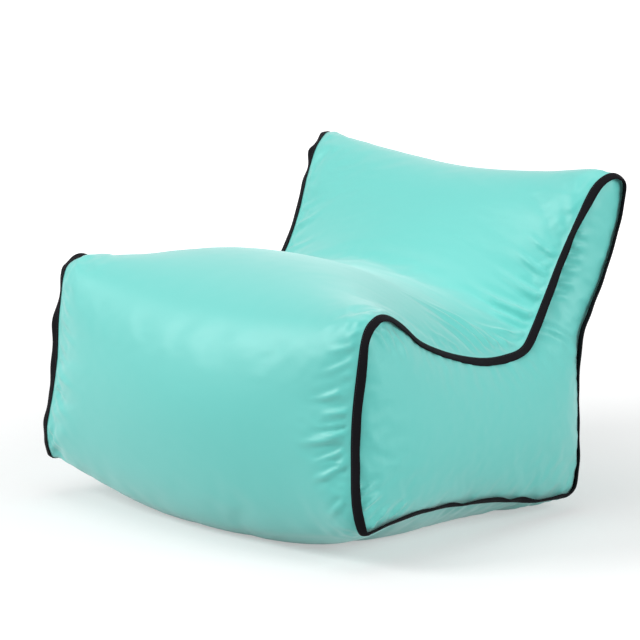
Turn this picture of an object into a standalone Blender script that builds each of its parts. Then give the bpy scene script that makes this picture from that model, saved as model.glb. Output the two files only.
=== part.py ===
"""Inflatable baby seat: a sewn cloth cover with bound seams, over a welded air bladder.

One strip of cloth makes the front, seat and backrest. A base panel closes it behind and below, and a
side panel at each end is joined to both by a seam whose two allowances stand out as a fin inside a
folded tape. A zip across the back lets the bladder in and out, and the bladder's screw valve comes out
through a ringed hole under the zip.

Metres. X runs across the seat, the front faces -Y, +Z is up, and the origin is on the floor under the
middle of the seat.
"""

import math
from typing import NamedTuple

import bmesh
import bpy
import numpy as np
from mathutils import Vector

# Whole seat
SEAT_DEPTH = 0.500  # front seam's foot to the back of the ears
BACK_HEIGHT = 0.420  # floor to the seam on top of the ears
SEAM_SPREAD = 0.500  # from one bound seam to the other
SIDE_BULGE = 0.034  # how far a side panel swells past its seam

# Cloth, and the clearance between pieces that touch
CLOTH = 0.0006
CLEARANCE = 0.0003
ROW_SPACING = 0.040  # longest step between two rows of points round the seat

# Bound seams
FIN_HEIGHT = 0.0105
FIN_LEAN = math.radians(10)  # towards the side panel
PANEL_LEAN = math.radians(28)  # slope of a side panel as it leaves the seam
TAPE_WALL = 0.0006
TAPE_FOLD = 0.0008
TAPE_UPPER_START = 0.0012  # root of the fin to the tape's edge, on the strip's side
TAPE_LOWER_START = 0.0024  # the same on the side panel's side
EDGE_INSET = 0.0016  # last column of the strip's points before the seam

# Zip
ZIP_LENGTH = 0.220
SLOT_HALF = 0.0046  # half the gap between the two edges of cloth
SLOT_MARGIN = 0.003  # full gap past each end of the chain
SLOT_END = 0.010  # over which the gap then closes
ZIP_RECESS = 0.0008  # zip tape behind the cloth, over the clearance
TAPE_BEYOND = 0.014  # zip tape past each end of the chain
ZIP_TAPE_WIDTH = 0.013
ZIP_TAPE = 0.0006
CHAIN_THICKNESS = 0.0024
CHAIN_HALF = 0.0029  # half the width of the closed chain
TOOTH_ROOT = 0.0017  # centre line to the bar that carries the teeth
TOOTH_TIP = 0.0009  # how far a tooth passes the centre line
TOOTH_WIDTH = 0.0016
TOOTH_TIP_WIDTH = 0.0012
TOOTH_PITCH = 0.0044
STOP_LENGTH = 0.0024
CLOSING_STOP_LENGTH = 0.0030
STOP_BEVEL = 0.0003

# Zip slider and pull
SLIDER_LENGTH = 0.0120
SLIDER_HALF_WIDTH = 0.0042
SLIDER_NECK_HALF_WIDTH = 0.0038
SLIDER_PLATE = 0.0009
FLANGE_HALF_GAP = 0.0032
WEDGE_LENGTH = 0.0036
WEDGE_HALF_WIDTH = 0.0011
BRIDGE_HALF_LENGTH = 0.0035
BRIDGE_HALF_WIDTH = 0.0010
BRIDGE_WALL = 0.0011
PULL_THICKNESS = 0.0011
PULL_LENGTH = 0.0260
PULL_HALF_WIDTH = 0.0035
PULL_ARM = 0.0013
PULL_EYE_LENGTH = 0.0044
PULL_GRIP_LENGTH = 0.0100
PULL_GRIP_HALF_WIDTH = 0.0019

# Bladder
FILM = 0.0005
BLADDER_SLACK = 0.0014  # between the cover and the film, over the clearance

# Valve: radii, then heights along its axis from the cover's outer face
FLANGE_RADIUS = 0.0220
FLANGE_THICKNESS = 0.0008
NECK_RADIUS = 0.0110
THREAD_DEPTH = 0.0010
BORE_RADIUS = 0.0085
COLLAR_HEIGHT = 0.0062
RING_WIDTH = 0.0068
RING_THICKNESS = 0.0008
HOLE_MARGIN = 0.0034  # neck to the cut edge of the cloth
INSERT_WALL = 0.0013
INSERT_LIP = 0.0012
INSERT_LIP_HEIGHT = 0.0010
INSERT_DEPTH = 0.0020  # below the cover's outer face
INSERT_HEIGHT = 0.0050
HUB_RADIUS = 0.0021
HUB_HEIGHT = 0.0024
SPOKE_WIDTH = 0.0014
STEM_RADIUS = 0.0008
FLAP_THICKNESS = 0.0007
FLAP_TRAVEL = 0.0015
BULB_RADIUS = 0.0015
BULB_HEIGHT = 0.0012
CAP_WALL = 0.0030
CAP_TOP = 0.0021
FLUTE_RADIUS = 0.0016
FLUTE_DEPTH = 0.0009
CAP_BEVEL = 0.0005
SEAL_THICKNESS = 0.0007
STUD_RADIUS = 0.0022
STUD_HEAD_RADIUS = 0.0036
STUD_HEAD_HEIGHT = 0.0012
TETHER = 0.0008
TETHER_RING_WIDTH = 0.0028
TETHER_EYE_WIDTH = 0.0028
TETHER_HALF_WIDTH = 0.0026
TETHER_REACH = 0.0030  # past the cap's side before the strap turns back

OVERRUN = 0.002  # cutters past the wall that they cut

SPOKES = 3
FLUTES = 14
TURNED_STEPS = 28
STRAP_STEPS = 8
RIM_STEPS = 32

# Steps for slopes: in stations along the strip, and in metres across it. A place along the strip is
# found in a few rounds, and a height by halving.
STATION_STEP = 0.02
SLOPE_STEP = 0.001
ROUNDS = 4
HALVINGS = 40

# Bladder and cover share the stations below. Each row is a name, the seam's place behind the front
# seam's foot and above the floor as shares of SEAT_DEPTH and BACK_HEIGHT, its half spread as a share of
# half SEAM_SPREAD, the same two places for the middle of the strip, and the point of the side panel's
# ridge that the row leads to.
STATION_SHARES = (
    ("base_front", 0.156, 0.117, 1.040, 0.180, -0.034, 0),
    ("toe_under", 0.062, 0.111, 1.058, 0.072, -0.016, 0),
    ("toe", 0.018, 0.109, 1.066, 0.016, 0.014, 0),
    ("toe_front", -0.006, 0.124, 1.067, -0.022, 0.046, 0),
    ("front_low", -0.024, 0.203, 1.064, -0.064, 0.143, 0),
    ("front_mid", -0.016, 0.314, 1.042, -0.088, 0.286, 0),
    ("front_high", -0.006, 0.429, 1.026, -0.086, 0.429, 0),
    ("brow_low", 0.006, 0.571, 1.032, -0.054, 0.571, 0),
    ("brow", 0.024, 0.683, 1.037, -0.010, 0.662, 0),
    ("brow_top", 0.058, 0.718, 1.034, 0.044, 0.717, 0),
    ("seat_front", 0.108, 0.716, 1.016, 0.110, 0.757, 0),
    ("seat_ramp", 0.170, 0.676, 1.005, 0.184, 0.781, 0),
    ("seat_mid", 0.246, 0.608, 0.997, 0.270, 0.784, 1),
    ("seat_rear", 0.360, 0.550, 0.988, 0.380, 0.757, 1),
    ("valley_front", 0.480, 0.511, 0.978, 0.480, 0.714, 2),
    ("valley", 0.580, 0.501, 0.964, 0.566, 0.688, 3),
    ("valley_rear", 0.650, 0.512, 0.945, 0.624, 0.695, 3),
    ("back_foot", 0.704, 0.557, 0.915, 0.670, 0.721, 4),
    ("back_low", 0.760, 0.636, 0.895, 0.724, 0.774, 4),
    ("back_mid", 0.813, 0.750, 0.903, 0.780, 0.838, 5),
    ("back_high", 0.859, 0.864, 0.932, 0.828, 0.895, 6),
    ("ear_front", 0.900, 0.950, 0.948, 0.872, 0.935, 6),
    ("ear_top", 0.940, 0.986, 0.964, 0.916, 0.952, 6),
    ("ear", 0.976, 0.990, 0.983, 0.960, 0.944, 6),
    ("ear_back", 1.000, 0.952, 0.996, 1.000, 0.902, 6),
    ("back_rear", 0.980, 0.833, 0.999, 1.022, 0.810, 6),
    ("back_waist", 0.934, 0.710, 1.000, 1.000, 0.690, 5),
    ("kink_over", 0.874, 0.600, 1.000, 0.956, 0.583, 4),
    ("kink", 0.836, 0.526, 1.002, 0.924, 0.500, 4),
    ("zip_line", 0.831, 0.393, 1.004, 0.911, 0.393, 3),
    ("rear_high", 0.831, 0.310, 1.005, 0.909, 0.310, 3),
    ("valve_line", 0.831, 0.226, 1.007, 0.912, 0.226, 3),
    ("rear_low", 0.831, 0.142, 1.009, 0.909, 0.142, 3),
    ("heel_rear", 0.818, 0.069, 1.011, 0.886, 0.057, 3),
    ("heel", 0.792, 0.042, 1.012, 0.840, 0.005, 3),
    ("heel_under", 0.740, 0.043, 1.012, 0.760, -0.028, 3),
    ("base_rear", 0.651, 0.056, 1.013, 0.640, -0.036, 3),
    ("base_mid", 0.497, 0.093, 1.018, 0.490, -0.038, 2),
    ("base_fore", 0.300, 0.118, 1.028, 0.310, -0.038, 1),
)

# The side panel's ridge: place as shares of SEAT_DEPTH and BACK_HEIGHT, half spread as above, and the
# panel's swelling there as a share of SIDE_BULGE.
RIDGE_SHARES = (
    (0.150, 0.400, 1.030, 0.92),
    (0.300, 0.345, 1.015, 1.00),
    (0.470, 0.310, 1.005, 0.94),
    (0.640, 0.330, 1.000, 0.90),
    (0.745, 0.480, 0.985, 0.80),
    (0.835, 0.660, 0.970, 0.56),
    (0.905, 0.835, 0.975, 0.34),
)
RING_SHARES = (0.22, 0.58)  # rings of points between the seam and the ridge

# Columns of points across the strip, from the middle to the last column.
COLUMN_SHARES = (0, 0.30, 0.56, 0.80, 1)
SLOT_COLUMN_SHARES = (0, 0.5, 1)  # across the zip's gap, from the middle
EDGE_COLUMN_SHARES = (0.14, 0.5, 1)  # from the end of the gap to the last column

# The bladder is hidden, so it has fewer columns and rings. Its flats then lie just inside the curves.
FILM_COLUMN_SHARES = (0, 0.56, 0.82, 1)
FILM_RING_SHARES = (0.58,)


class Station(NamedTuple):
    """One place along the strip: the seam and the middle of the cloth, as (y, z), and half the spread."""

    seam: np.ndarray
    half: float
    middle: np.ndarray
    ridge: int


def spline(before, start, end, after, t):
    """A point at t between start and end of a Catmull-Rom curve, as arrays."""
    return 0.5 * (
        2 * start
        + (end - before) * t
        + (2 * before - 5 * start + 4 * end - after) * t**2
        + (3 * start - before - 3 * end + after) * t**3
    )


def control_row(index):
    """Seam y and z, half spread, and middle y and z of a named station, in metres."""
    _, seam_y, seam_z, spread, middle_y, middle_z, _ = STATION_SHARES[index % len(STATION_SHARES)]
    return np.array(
        [
            seam_y * SEAT_DEPTH,
            seam_z * BACK_HEIGHT,
            spread * SEAM_SPREAD / 2,
            middle_y * SEAT_DEPTH,
            middle_z * BACK_HEIGHT,
        ]
    )


def station_at(u):
    """The station at u, counted in named stations from the first."""
    first = math.floor(u)
    share = u - first
    seam_y, seam_z, half, middle_y, middle_z = spline(
        *(control_row(first + k) for k in (-1, 0, 1, 2)), share
    )
    ridge = STATION_SHARES[(first + (share >= 0.5)) % len(STATION_SHARES)][-1]
    return Station(np.array([seam_y, seam_z]), half, np.array([middle_y, middle_z]), ridge)


def named(name):
    """The number of a named station."""
    return next(i for i, row in enumerate(STATION_SHARES) if row[0] == name)


def rows_between(start, end):
    """Station values from start to end, no further apart than ROW_SPACING, and every named one."""
    stops = [start, *range(math.floor(start) + 1, math.ceil(end)), end]
    rows = []
    for low, high in zip(stops, stops[1:]):
        a, b = station_at(low), station_at(high)
        length = max(np.linalg.norm(b.seam - a.seam), np.linalg.norm(b.middle - a.middle))
        steps = max(1, math.ceil(length / ROW_SPACING))
        rows += [low + (high - low) * k / steps for k in range(steps)]
    return rows


def strip_point(u, x):
    """The strip's outer face at station u and x: an arc through both seams and the middle."""
    station = station_at(u)
    crown = station.middle - station.seam
    height = np.linalg.norm(crown)
    radius = (station.half**2 + height**2) / (2 * height)
    drop = radius - math.sqrt(radius**2 - x**2)
    y, z = station.seam + crown * (1 - drop / height)
    return np.array([x, y, z])


def strip_face(u, x, depth):
    """A point below the strip's outer face, square to it; the floor flattens what would pass it."""
    along = strip_point(u + STATION_STEP, x) - strip_point(u - STATION_STEP, x)
    across = strip_point(u, x + SLOPE_STEP) - strip_point(u, x - SLOPE_STEP)
    normal = np.cross(across, along)
    normal /= np.linalg.norm(normal)
    point = strip_point(u, x)
    if point[2] < 0:
        point[2], normal = 0, np.array([0, 0, -1])
    inner = point - depth * normal
    inner[2] = max(inner[2], depth)
    return inner


def seam_frame(u, side):
    """The seam's root at u on one side, with the fin's direction and the way across its thickness."""
    station = station_at(u)
    ahead = station_at(u + STATION_STEP).seam - station_at(u - STATION_STEP).seam
    ahead /= np.linalg.norm(ahead)
    outward = np.array([0, -ahead[1], ahead[0]])
    across = np.array([side, 0, 0])
    root = np.array([side * station.half, *station.seam])
    fin = across * math.cos(FIN_LEAN) - outward * math.sin(FIN_LEAN)
    upper = outward * math.cos(FIN_LEAN) + across * math.sin(FIN_LEAN)
    return root, fin, upper, outward, across


def in_fin(u, side, height, level):
    """A point in the fin: height along it, level across it, positive towards the strip."""
    root, fin, upper, _, _ = seam_frame(u, side)
    return root + fin * height + upper * level


def ridge_point(index):
    """A point of the right-hand side panel's ridge."""
    y, z, spread, bulge = RIDGE_SHARES[index]
    return np.array([spread * SEAM_SPREAD / 2 + bulge * SIDE_BULGE, y * SEAT_DEPTH, z * BACK_HEIGHT])


def side_point(u, share, depth):
    """The right-hand side panel's face at station u, share of the way from the seam to the ridge."""
    station = station_at(u)
    seam = np.array([station.half, *station.seam])
    ridge = ridge_point(station.ridge)
    point = seam + (ridge - seam) * share
    point[0] = seam[0] + (ridge[0] - seam[0]) * math.sin(share * math.pi / 2) - depth
    return point


def mirrored(point, side):
    """A point of the right-hand side, carried to the given side."""
    return point * np.array([side, 1, 1])


class Shelf(NamedTuple):
    """The two collections: finished pieces, and the tools that cut them or are joined on."""

    parts: bpy.types.Collection
    cutters: bpy.types.Collection


def clear_scene():
    for thing in list(bpy.data.objects):
        bpy.data.objects.remove(thing, do_unlink=True)


def make_collections():
    shelf = Shelf(
        bpy.data.collections.new("inflatable_baby_seat"), bpy.data.collections.new("cutters")
    )
    shelf.cutters.hide_render = True
    for collection in shelf:
        bpy.context.scene.collection.children.link(collection)
    return shelf


def make_material(name, colour, roughness, metallic=0.0):
    material = bpy.data.materials.new(name)
    material.use_nodes = True
    shader = material.node_tree.nodes["Principled BSDF"]
    shader.inputs["Base Color"].default_value = (*colour, 1)
    shader.inputs["Roughness"].default_value = roughness
    shader.inputs["Metallic"].default_value = metallic
    return material


def add_object(name, mesh, collection, material=None):
    mesh.name = name
    made = bpy.data.objects.new(name, mesh)
    collection.objects.link(made)
    if material:
        mesh.materials.append(material)
    return made


def add_sheet(name, outer, inner, shelf, material, closed=False, open_columns=(True, True)):
    """A sheet of cloth or film lofted between two faces, each a list of rows of points.

    A closed sheet's last row meets its first. A side that isn't an open edge of the sheet is a ridge,
    where the points of facing rows coincide and are merged. Both faces are wound to look out of the
    cloth, so a sheet that holds less than nothing is inside out as a whole and is turned.
    """
    form = bmesh.new()
    top, bottom = ([[form.verts.new(p) for p in row] for row in face] for face in (outer, inner))
    rows, columns = len(outer), len(outer[0])
    for i in range(rows if closed else rows - 1):
        j = (i + 1) % rows
        for k in range(columns - 1):
            form.faces.new((top[i][k], top[i][k + 1], top[j][k + 1], top[j][k]))
            form.faces.new((bottom[i][k], bottom[j][k], bottom[j][k + 1], bottom[i][k + 1]))
        if open_columns[0]:
            form.faces.new((top[i][0], top[j][0], bottom[j][0], bottom[i][0]))
        if open_columns[1]:
            form.faces.new((top[i][-1], bottom[i][-1], bottom[j][-1], top[j][-1]))
    if not closed:
        for k in range(columns - 1):
            form.faces.new((top[0][k], bottom[0][k], bottom[0][k + 1], top[0][k + 1]))
            form.faces.new((top[-1][k], top[-1][k + 1], bottom[-1][k + 1], bottom[-1][k]))
    bmesh.ops.remove_doubles(form, verts=form.verts, dist=CLEARANCE / 100)
    if form.calc_volume(signed=True) < 0:
        bmesh.ops.reverse_faces(form, faces=form.faces)
    mesh = bpy.data.meshes.new(name)
    form.to_mesh(mesh)
    form.free()
    mesh.shade_smooth()
    return add_object(name, mesh, shelf.parts, material)


def add_block(name, low, high, collection, material=None, bevel=0.0):
    """A box between two corners, with its edges rounded off by bevel."""
    form = bmesh.new()
    bmesh.ops.create_cube(form, size=1)
    middle, size = (np.array(low) + high) / 2, np.array(high) - low
    for vertex in form.verts:
        vertex.co = Vector(middle + size * vertex.co)
    if bevel:
        bmesh.ops.bevel(form, geom=form.edges, offset=bevel, segments=1, affect="EDGES")
    mesh = bpy.data.meshes.new(name)
    form.to_mesh(mesh)
    form.free()
    return add_object(name, mesh, collection, material)


def add_rod(name, radius, low, high, collection, centre=(0, 0), sides=TURNED_STEPS):
    """A cylinder along Z, as a tool for cuts and joins."""
    form = bmesh.new()
    bmesh.ops.create_cone(
        form, cap_ends=True, segments=sides, radius1=radius, radius2=radius, depth=high - low
    )
    bmesh.ops.translate(form, verts=form.verts, vec=(*centre, (low + high) / 2))
    mesh = bpy.data.meshes.new(name)
    form.to_mesh(mesh)
    form.free()
    return add_object(name, mesh, collection)


def add_turned(name, profile, collection, material=None, ring=True, steps=TURNED_STEPS):
    """A shape turned about Z from (radius, height) points, down the outer side first.

    A ring's profile closes on itself, and any other's ends lie on the axis.
    """
    mesh = bpy.data.meshes.new(name)
    count = len(profile)
    edges = [(i, (i + 1) % count) for i in range(count if ring else count - 1)]
    mesh.from_pydata([(radius, 0, height) for radius, height in profile], edges, [])
    made = add_object(name, mesh, collection, material)
    screw = made.modifiers.new("turn", "SCREW")
    screw.axis = "Z"
    screw.steps = screw.render_steps = steps
    screw.use_merge_vertices = True
    screw.merge_threshold = CLEARANCE / 100
    return made


def combine(target, tool, operation, shelf):
    """Cuts a tool from an object, or joins it on, with the tool kept beside the parts as a guide."""
    for collection in list(tool.users_collection):
        collection.objects.unlink(tool)
    shelf.cutters.objects.link(tool)
    tool.parent = target
    tool.hide_render = True
    tool.display_type = "WIRE"
    boolean = target.modifiers.new(tool.name, "BOOLEAN")
    boolean.operation = operation
    boolean.object = tool
    boolean.solver = "EXACT"


def add_panel(name, rows, column_xs, ends, shelf, material):
    """A panel of the strip with a fin along each side.

    column_xs gives the columns' places at a row, and ends how far each end row is drawn in, by place.
    """
    outer, inner = [], []
    level = CLEARANCE / 2
    for u in rows:
        xs = column_xs(u)
        first, last = u == rows[0], u == rows[-1]
        places = [moved_along(u, x, first * ends[0](x) - last * ends[1](x)) for x in xs]
        for face, depth, height in ((outer, 0, level + CLOTH), (inner, CLOTH, level)):
            left = [in_fin(places[0], -1, reach, height) for reach in (FIN_HEIGHT, 0)]
            right = [in_fin(places[-1], 1, reach, height) for reach in (0, FIN_HEIGHT)]
            face.append([*left, *(strip_face(p, x, depth) for p, x in zip(places, xs)), *right])
    return add_sheet(name, outer, inner, shelf, material)


def moved_along(u, x, distance):
    """The station at a distance along the strip from u, at x."""
    start, found = strip_point(u, x), u
    for _ in range(ROUNDS):
        ahead = strip_point(found + STATION_STEP, x) - strip_point(found - STATION_STEP, x)
        missing = distance - math.copysign(np.linalg.norm(strip_point(found, x) - start), distance)
        found += missing * 2 * STATION_STEP / np.linalg.norm(ahead)
    return found


def both_sides(xs):
    """Places to the right of the middle, with their mirror images, in order."""
    return [-x for x in reversed(xs[1:])] + list(xs)


def even_columns(u):
    reach = station_at(u).half - EDGE_INSET
    return both_sides([share * reach for share in COLUMN_SHARES])


def slot_half_length():
    return ZIP_LENGTH / 2 + SLOT_MARGIN


def slot_columns(u):
    """Columns with two at each end of the zip's gap."""
    reach = station_at(u).half - EDGE_INSET
    slot, closed = slot_half_length(), slot_half_length() + SLOT_END
    xs = [share * slot for share in SLOT_COLUMN_SHARES]
    xs += [closed + (reach - closed) * share for share in (0, *EDGE_COLUMN_SHARES)]
    return both_sides(xs)


def seam_gap(_x):
    return CLEARANCE / 2


def zip_gap(x):
    """The base panel's upper edge stands back along the zip."""
    return CLEARANCE / 2 + 2 * SLOT_HALF * (abs(x) <= slot_half_length() + CLEARANCE)


def add_side_panel(name, side, rows, shelf, material):
    """A side panel: its own half of the fin, the fold at the seam's root, and the swollen panel."""
    outer, inner = [], []
    for u in rows:
        _, fin, upper, outward, across = seam_frame(u, side)
        slope = across * math.sin(PANEL_LEAN) - outward * math.cos(PANEL_LEAN)
        normal = across * math.cos(PANEL_LEAN) + outward * math.sin(PANEL_LEAN)
        corner = in_fin(u, side, 0, -CLEARANCE / 2)
        rise = CLOTH * (1 + normal @ upper) / -(slope @ upper)
        crotch = corner + normal * CLOTH + slope * rise
        tip = in_fin(u, side, FIN_HEIGHT, -CLEARANCE / 2)
        rings = [*RING_SHARES, 1]
        outer.append([tip - upper * CLOTH, crotch, *(mirrored(side_point(u, s, 0), side) for s in rings)])
        inner.append([tip, corner, *(mirrored(side_point(u, s, CLOTH), side) for s in rings)])
    return add_sheet(name, outer, inner, shelf, material, closed=True, open_columns=(True, False))


def add_seam_tape(name, side, rows, shelf, material):
    """The folded tape round both halves of a seam's fin, as one band swept along the seam."""
    half_slot = CLEARANCE * 3 / 2 + CLOTH
    half = half_slot + TAPE_WALL
    slot_end = FIN_HEIGHT + CLEARANCE
    outline = (
        (TAPE_UPPER_START, half),
        (slot_end + TAPE_FOLD, half),
        (slot_end + TAPE_FOLD, -half),
        (TAPE_LOWER_START, -half),
    )
    lining = (
        (TAPE_UPPER_START, half_slot),
        (slot_end, half_slot),
        (slot_end, -half_slot),
        (TAPE_LOWER_START, -half_slot),
    )
    outer, inner = (
        [[in_fin(u, side, *place) for place in section] for u in rows] for section in (outline, lining)
    )
    return add_sheet(name, outer, inner, shelf, material, closed=True)


def station_at_height(height, low="heel_rear", high="kink"):
    """The station on the back of the seat at a height above the floor."""
    upper, lower = named(high), named(low)
    for _ in range(HALVINGS):
        middle = (upper + lower) / 2
        if strip_point(middle, 0)[2] > height:
            upper = middle
        else:
            lower = middle
    return upper


class ZipArc(NamedTuple):
    """The level arc that the zip follows: its centre's y, its radius and its height above the floor."""

    centre_y: float
    radius: float
    height: float

    def place(self, along, up, out):
        """A point measured along the chain, up from its centre line and out from the cover's face."""
        angle, reach = along / self.radius, self.radius + out
        return Vector(
            (reach * math.sin(angle), self.centre_y + reach * math.cos(angle), self.height + up)
        )


def find_zip_arc():
    height = named_height("zip_line") - SLOT_HALF
    station = station_at(station_at_height(height))
    crown = station.middle[0] - station.seam[0]
    radius = (station.half**2 + crown**2) / (2 * crown)
    return ZipArc(station.middle[0] - radius, radius, height)


def named_height(name):
    return station_at(named(name)).middle[1]


def tape_depth():
    """Cover's outer face to the zip tape's outer face."""
    return CLOTH + CLEARANCE + ZIP_RECESS


def chain_level():
    return -(tape_depth() + ZIP_TAPE / 2)


def slider_bottom():
    """The slider's inner face, measured out from the cover's outer face."""
    return chain_level() - CHAIN_THICKNESS / 2 - CLEARANCE - SLIDER_PLATE


def film_depth():
    """Cover's outer face to the film, where the film lies close under the cloth."""
    return CLOTH + CLEARANCE + BLADDER_SLACK


def bladder_depth(u):
    """Cover's outer face to the film along the strip, which passes behind the slider at the back."""
    deep = CLEARANCE + BLADDER_SLACK - slider_bottom()
    start, end = named("kink_over"), named("heel")
    into = min(1, max(0, u % len(STATION_SHARES) - start))
    out = min(1, max(0, end - u % len(STATION_SHARES)))
    return film_depth() + (deep - film_depth()) * min(into, out)


def add_bladder(rows, valve, shelf, material):
    """The film all round, under the cloth, open only where the valve's collar passes it."""
    faces = []
    rings = [1, *reversed(FILM_RING_SHARES)]
    for layer in (0, FILM):
        face = []
        for u in rows:
            depth, side_depth = bladder_depth(u) + layer, 2 * film_depth() + layer
            reach = station_at(u).half - EDGE_INSET - 2 * depth
            xs = both_sides([share * reach for share in FILM_COLUMN_SHARES])
            _, _, _, outward, across = seam_frame(u, 1)
            corner = in_fin(u, 1, 0, 0) - outward * depth - across * side_depth
            edge = [*(side_point(u, s, side_depth) for s in rings), corner]
            row = [mirrored(p, -1) for p in edge]
            row += [strip_face(u, x, depth) for x in xs]
            face.append([*row, *reversed(edge)])
        faces.append(face)
    bladder = add_sheet(
        "air_bladder", *faces, shelf, material, closed=True, open_columns=(False, False)
    )
    reach = FLANGE_RADIUS
    hole = add_rod("bladder_hole", NECK_RADIUS + CLEARANCE, -reach, reach, shelf.cutters)
    set_on_valve(hole, valve)
    combine(bladder, hole, "DIFFERENCE", shelf)
    return bladder


def set_on_valve(thing, valve):
    """Places a shape turned about Z on the valve's axis, which points straight back."""
    thing.location = valve
    thing.rotation_euler = (-math.pi / 2, 0, 0)


def add_cover(shelf, cloth, tape):
    zip_row, end = named("zip_line"), len(STATION_SHARES)
    front_rows, base_rows = rows_between(0, zip_row), rows_between(zip_row, end)
    add_panel(
        "seat_panel", [*front_rows, zip_row], even_columns, (seam_gap, seam_gap), shelf, cloth
    )
    base = add_panel(
        "base_panel", [*base_rows, end], slot_columns, (zip_gap, seam_gap), shelf, cloth
    )
    rows = front_rows + base_rows
    for side, word in ((-1, "left"), (1, "right")):
        add_side_panel(f"side_panel_{word}", side, rows, shelf, cloth)
        add_seam_tape(f"seam_tape_{word}", side, rows, shelf, tape)
    return base, rows


def add_zip_tape(name, way, arc, shelf, material):
    """One half of the zip's woven tape, just under the cloth above or below the chain."""
    reach = ZIP_LENGTH / 2 + TAPE_BEYOND
    count = round(2 * reach / ROW_SPACING) * 2
    faces = ([], [])
    for face, depth in zip(faces, (tape_depth(), tape_depth() + ZIP_TAPE)):
        for k in range(count + 1):
            x = arc.place(reach * (2 * k / count - 1), 0, 0).x
            row = []
            for share in (0, 0.5, 1):
                up = way * (CHAIN_HALF + CLEARANCE + ZIP_TAPE_WIDTH * share)
                row.append(strip_face(station_at_height(arc.height + up), x, depth))
            face.append(row)
    return add_sheet(name, *faces, shelf, material)


def add_zip_teeth(name, way, start, end, arc, shelf, material):
    """One row of teeth on its bar: flat cells drawn and thickened, then bent round the arc."""
    form = bmesh.new()
    count = math.floor((end - start) / TOOTH_PITCH)
    offset = TOOTH_PITCH / 4 * (1 - way)

    def cell(corners):
        form.faces.new([form.verts.new((along, way * up, 0)) for along, up in corners])

    edge = start
    for k in range(count):
        middle = start + offset + (k + 0.5) * TOOTH_PITCH
        low, high = middle - TOOTH_WIDTH / 2, middle + TOOTH_WIDTH / 2
        for a, b in ((edge, low), (low, high)):
            cell(((a, TOOTH_ROOT), (b, TOOTH_ROOT), (b, CHAIN_HALF), (a, CHAIN_HALF)))
        tip_low, tip_high = middle - TOOTH_TIP_WIDTH / 2, middle + TOOTH_TIP_WIDTH / 2
        cell(((tip_low, -TOOTH_TIP), (tip_high, -TOOTH_TIP), (high, TOOTH_ROOT), (low, TOOTH_ROOT)))
        edge = high
    bmesh.ops.remove_doubles(form, verts=form.verts, dist=CLEARANCE / 100)
    raised = bmesh.ops.extrude_face_region(form, geom=form.faces[:])["geom"]
    thickness = (0, 0, CHAIN_THICKNESS)
    bmesh.ops.translate(
        form, verts=[v for v in raised if isinstance(v, bmesh.types.BMVert)], vec=thickness
    )
    for vertex in form.verts:
        along, up, out = vertex.co
        vertex.co = arc.place(along, up, chain_level() + out - CHAIN_THICKNESS / 2)
    bmesh.ops.recalc_face_normals(form, faces=form.faces)
    mesh = bpy.data.meshes.new(name)
    form.to_mesh(mesh)
    form.free()
    return add_object(name, mesh, shelf.parts, material)


def add_zip_stop(name, along, length, ups, arc, shelf, material):
    """A stop moulded on the chain, set square to the arc."""
    half = CHAIN_THICKNESS / 2
    low = (-length / 2, ups[0], arc.radius + chain_level() - half)
    high = (length / 2, ups[1], arc.radius + chain_level() + half)
    low, high = ((p[0], p[2], p[1]) for p in (low, high))
    stop = add_block(name, low, high, shelf.parts, material, STOP_BEVEL)
    stand_on_arc(stop, along, arc)
    return stop


def stand_on_arc(thing, along, arc):
    """Puts a shape, drawn about the arc's own axis, at its place along the chain."""
    thing.location = (0, arc.centre_y, arc.height)
    thing.rotation_euler = (0, 0, -along / arc.radius)


def add_zip_slider(along, arc, shelf, material):
    """The slider: two plates held apart by a wedge, flanges that guide the chain, and the pull's bridge."""
    half = SLIDER_LENGTH / 2
    face = arc.radius + chain_level()
    inside = CHAIN_THICKNESS / 2 + CLEARANCE
    outside = inside + SLIDER_PLATE
    plan = (
        (-half, SLIDER_NECK_HALF_WIDTH),
        (half - WEDGE_LENGTH * 2, SLIDER_HALF_WIDTH),
        (half, SLIDER_HALF_WIDTH),
    )
    slider = add_plate("zip_slider", plan, face + inside, face + outside, shelf.parts, material)
    lower = add_plate("slider_lower_plate", plan, face - outside, face - inside, shelf.cutters)
    pieces = [lower]
    wedge_start = half - WEDGE_LENGTH - STOP_BEVEL
    sunk = SLIDER_PLATE / 2
    pieces.append(
        add_block(
            "slider_wedge",
            (wedge_start, face - inside - sunk, -WEDGE_HALF_WIDTH),
            (half - STOP_BEVEL, face + inside + sunk, WEDGE_HALF_WIDTH),
            shelf.cutters,
        )
    )
    reach = ZIP_TAPE / 2 + 2 * CLEARANCE
    for way in (-1, 1):
        for low, high in ((reach, inside + sunk), (-inside - sunk, -reach)):
            sides = sorted((way * FLANGE_HALF_GAP, way * SLIDER_NECK_HALF_WIDTH))
            pieces.append(
                add_block(
                    f"slider_flange_{way}_{low > 0}",
                    (STOP_BEVEL - half, face + low, sides[0]),
                    (wedge_start, face + high, sides[1]),
                    shelf.cutters,
                )
            )
    pieces.append(add_bridge(face + outside, shelf))
    for piece in pieces:
        combine(slider, piece, "UNION", shelf)
    stand_on_arc(slider, along, arc)
    return slider


def add_plate(name, plan, low, high, collection, material=None):
    """A flat plate, alike above and below its centre line, from (along, half width) points."""
    form = bmesh.new()
    edge = [(along, up) for along, up in plan] + [(along, -up) for along, up in reversed(plan)]
    face = form.faces.new([form.verts.new((along, low, up)) for along, up in edge])
    raised = bmesh.ops.extrude_face_region(form, geom=[face])["geom"]
    moved = [v for v in raised if isinstance(v, bmesh.types.BMVert)]
    bmesh.ops.translate(form, verts=moved, vec=(0, high - low, 0))
    bmesh.ops.recalc_face_normals(form, faces=form.faces)
    mesh = bpy.data.meshes.new(name)
    form.to_mesh(mesh)
    form.free()
    return add_object(name, mesh, collection, material)


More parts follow.
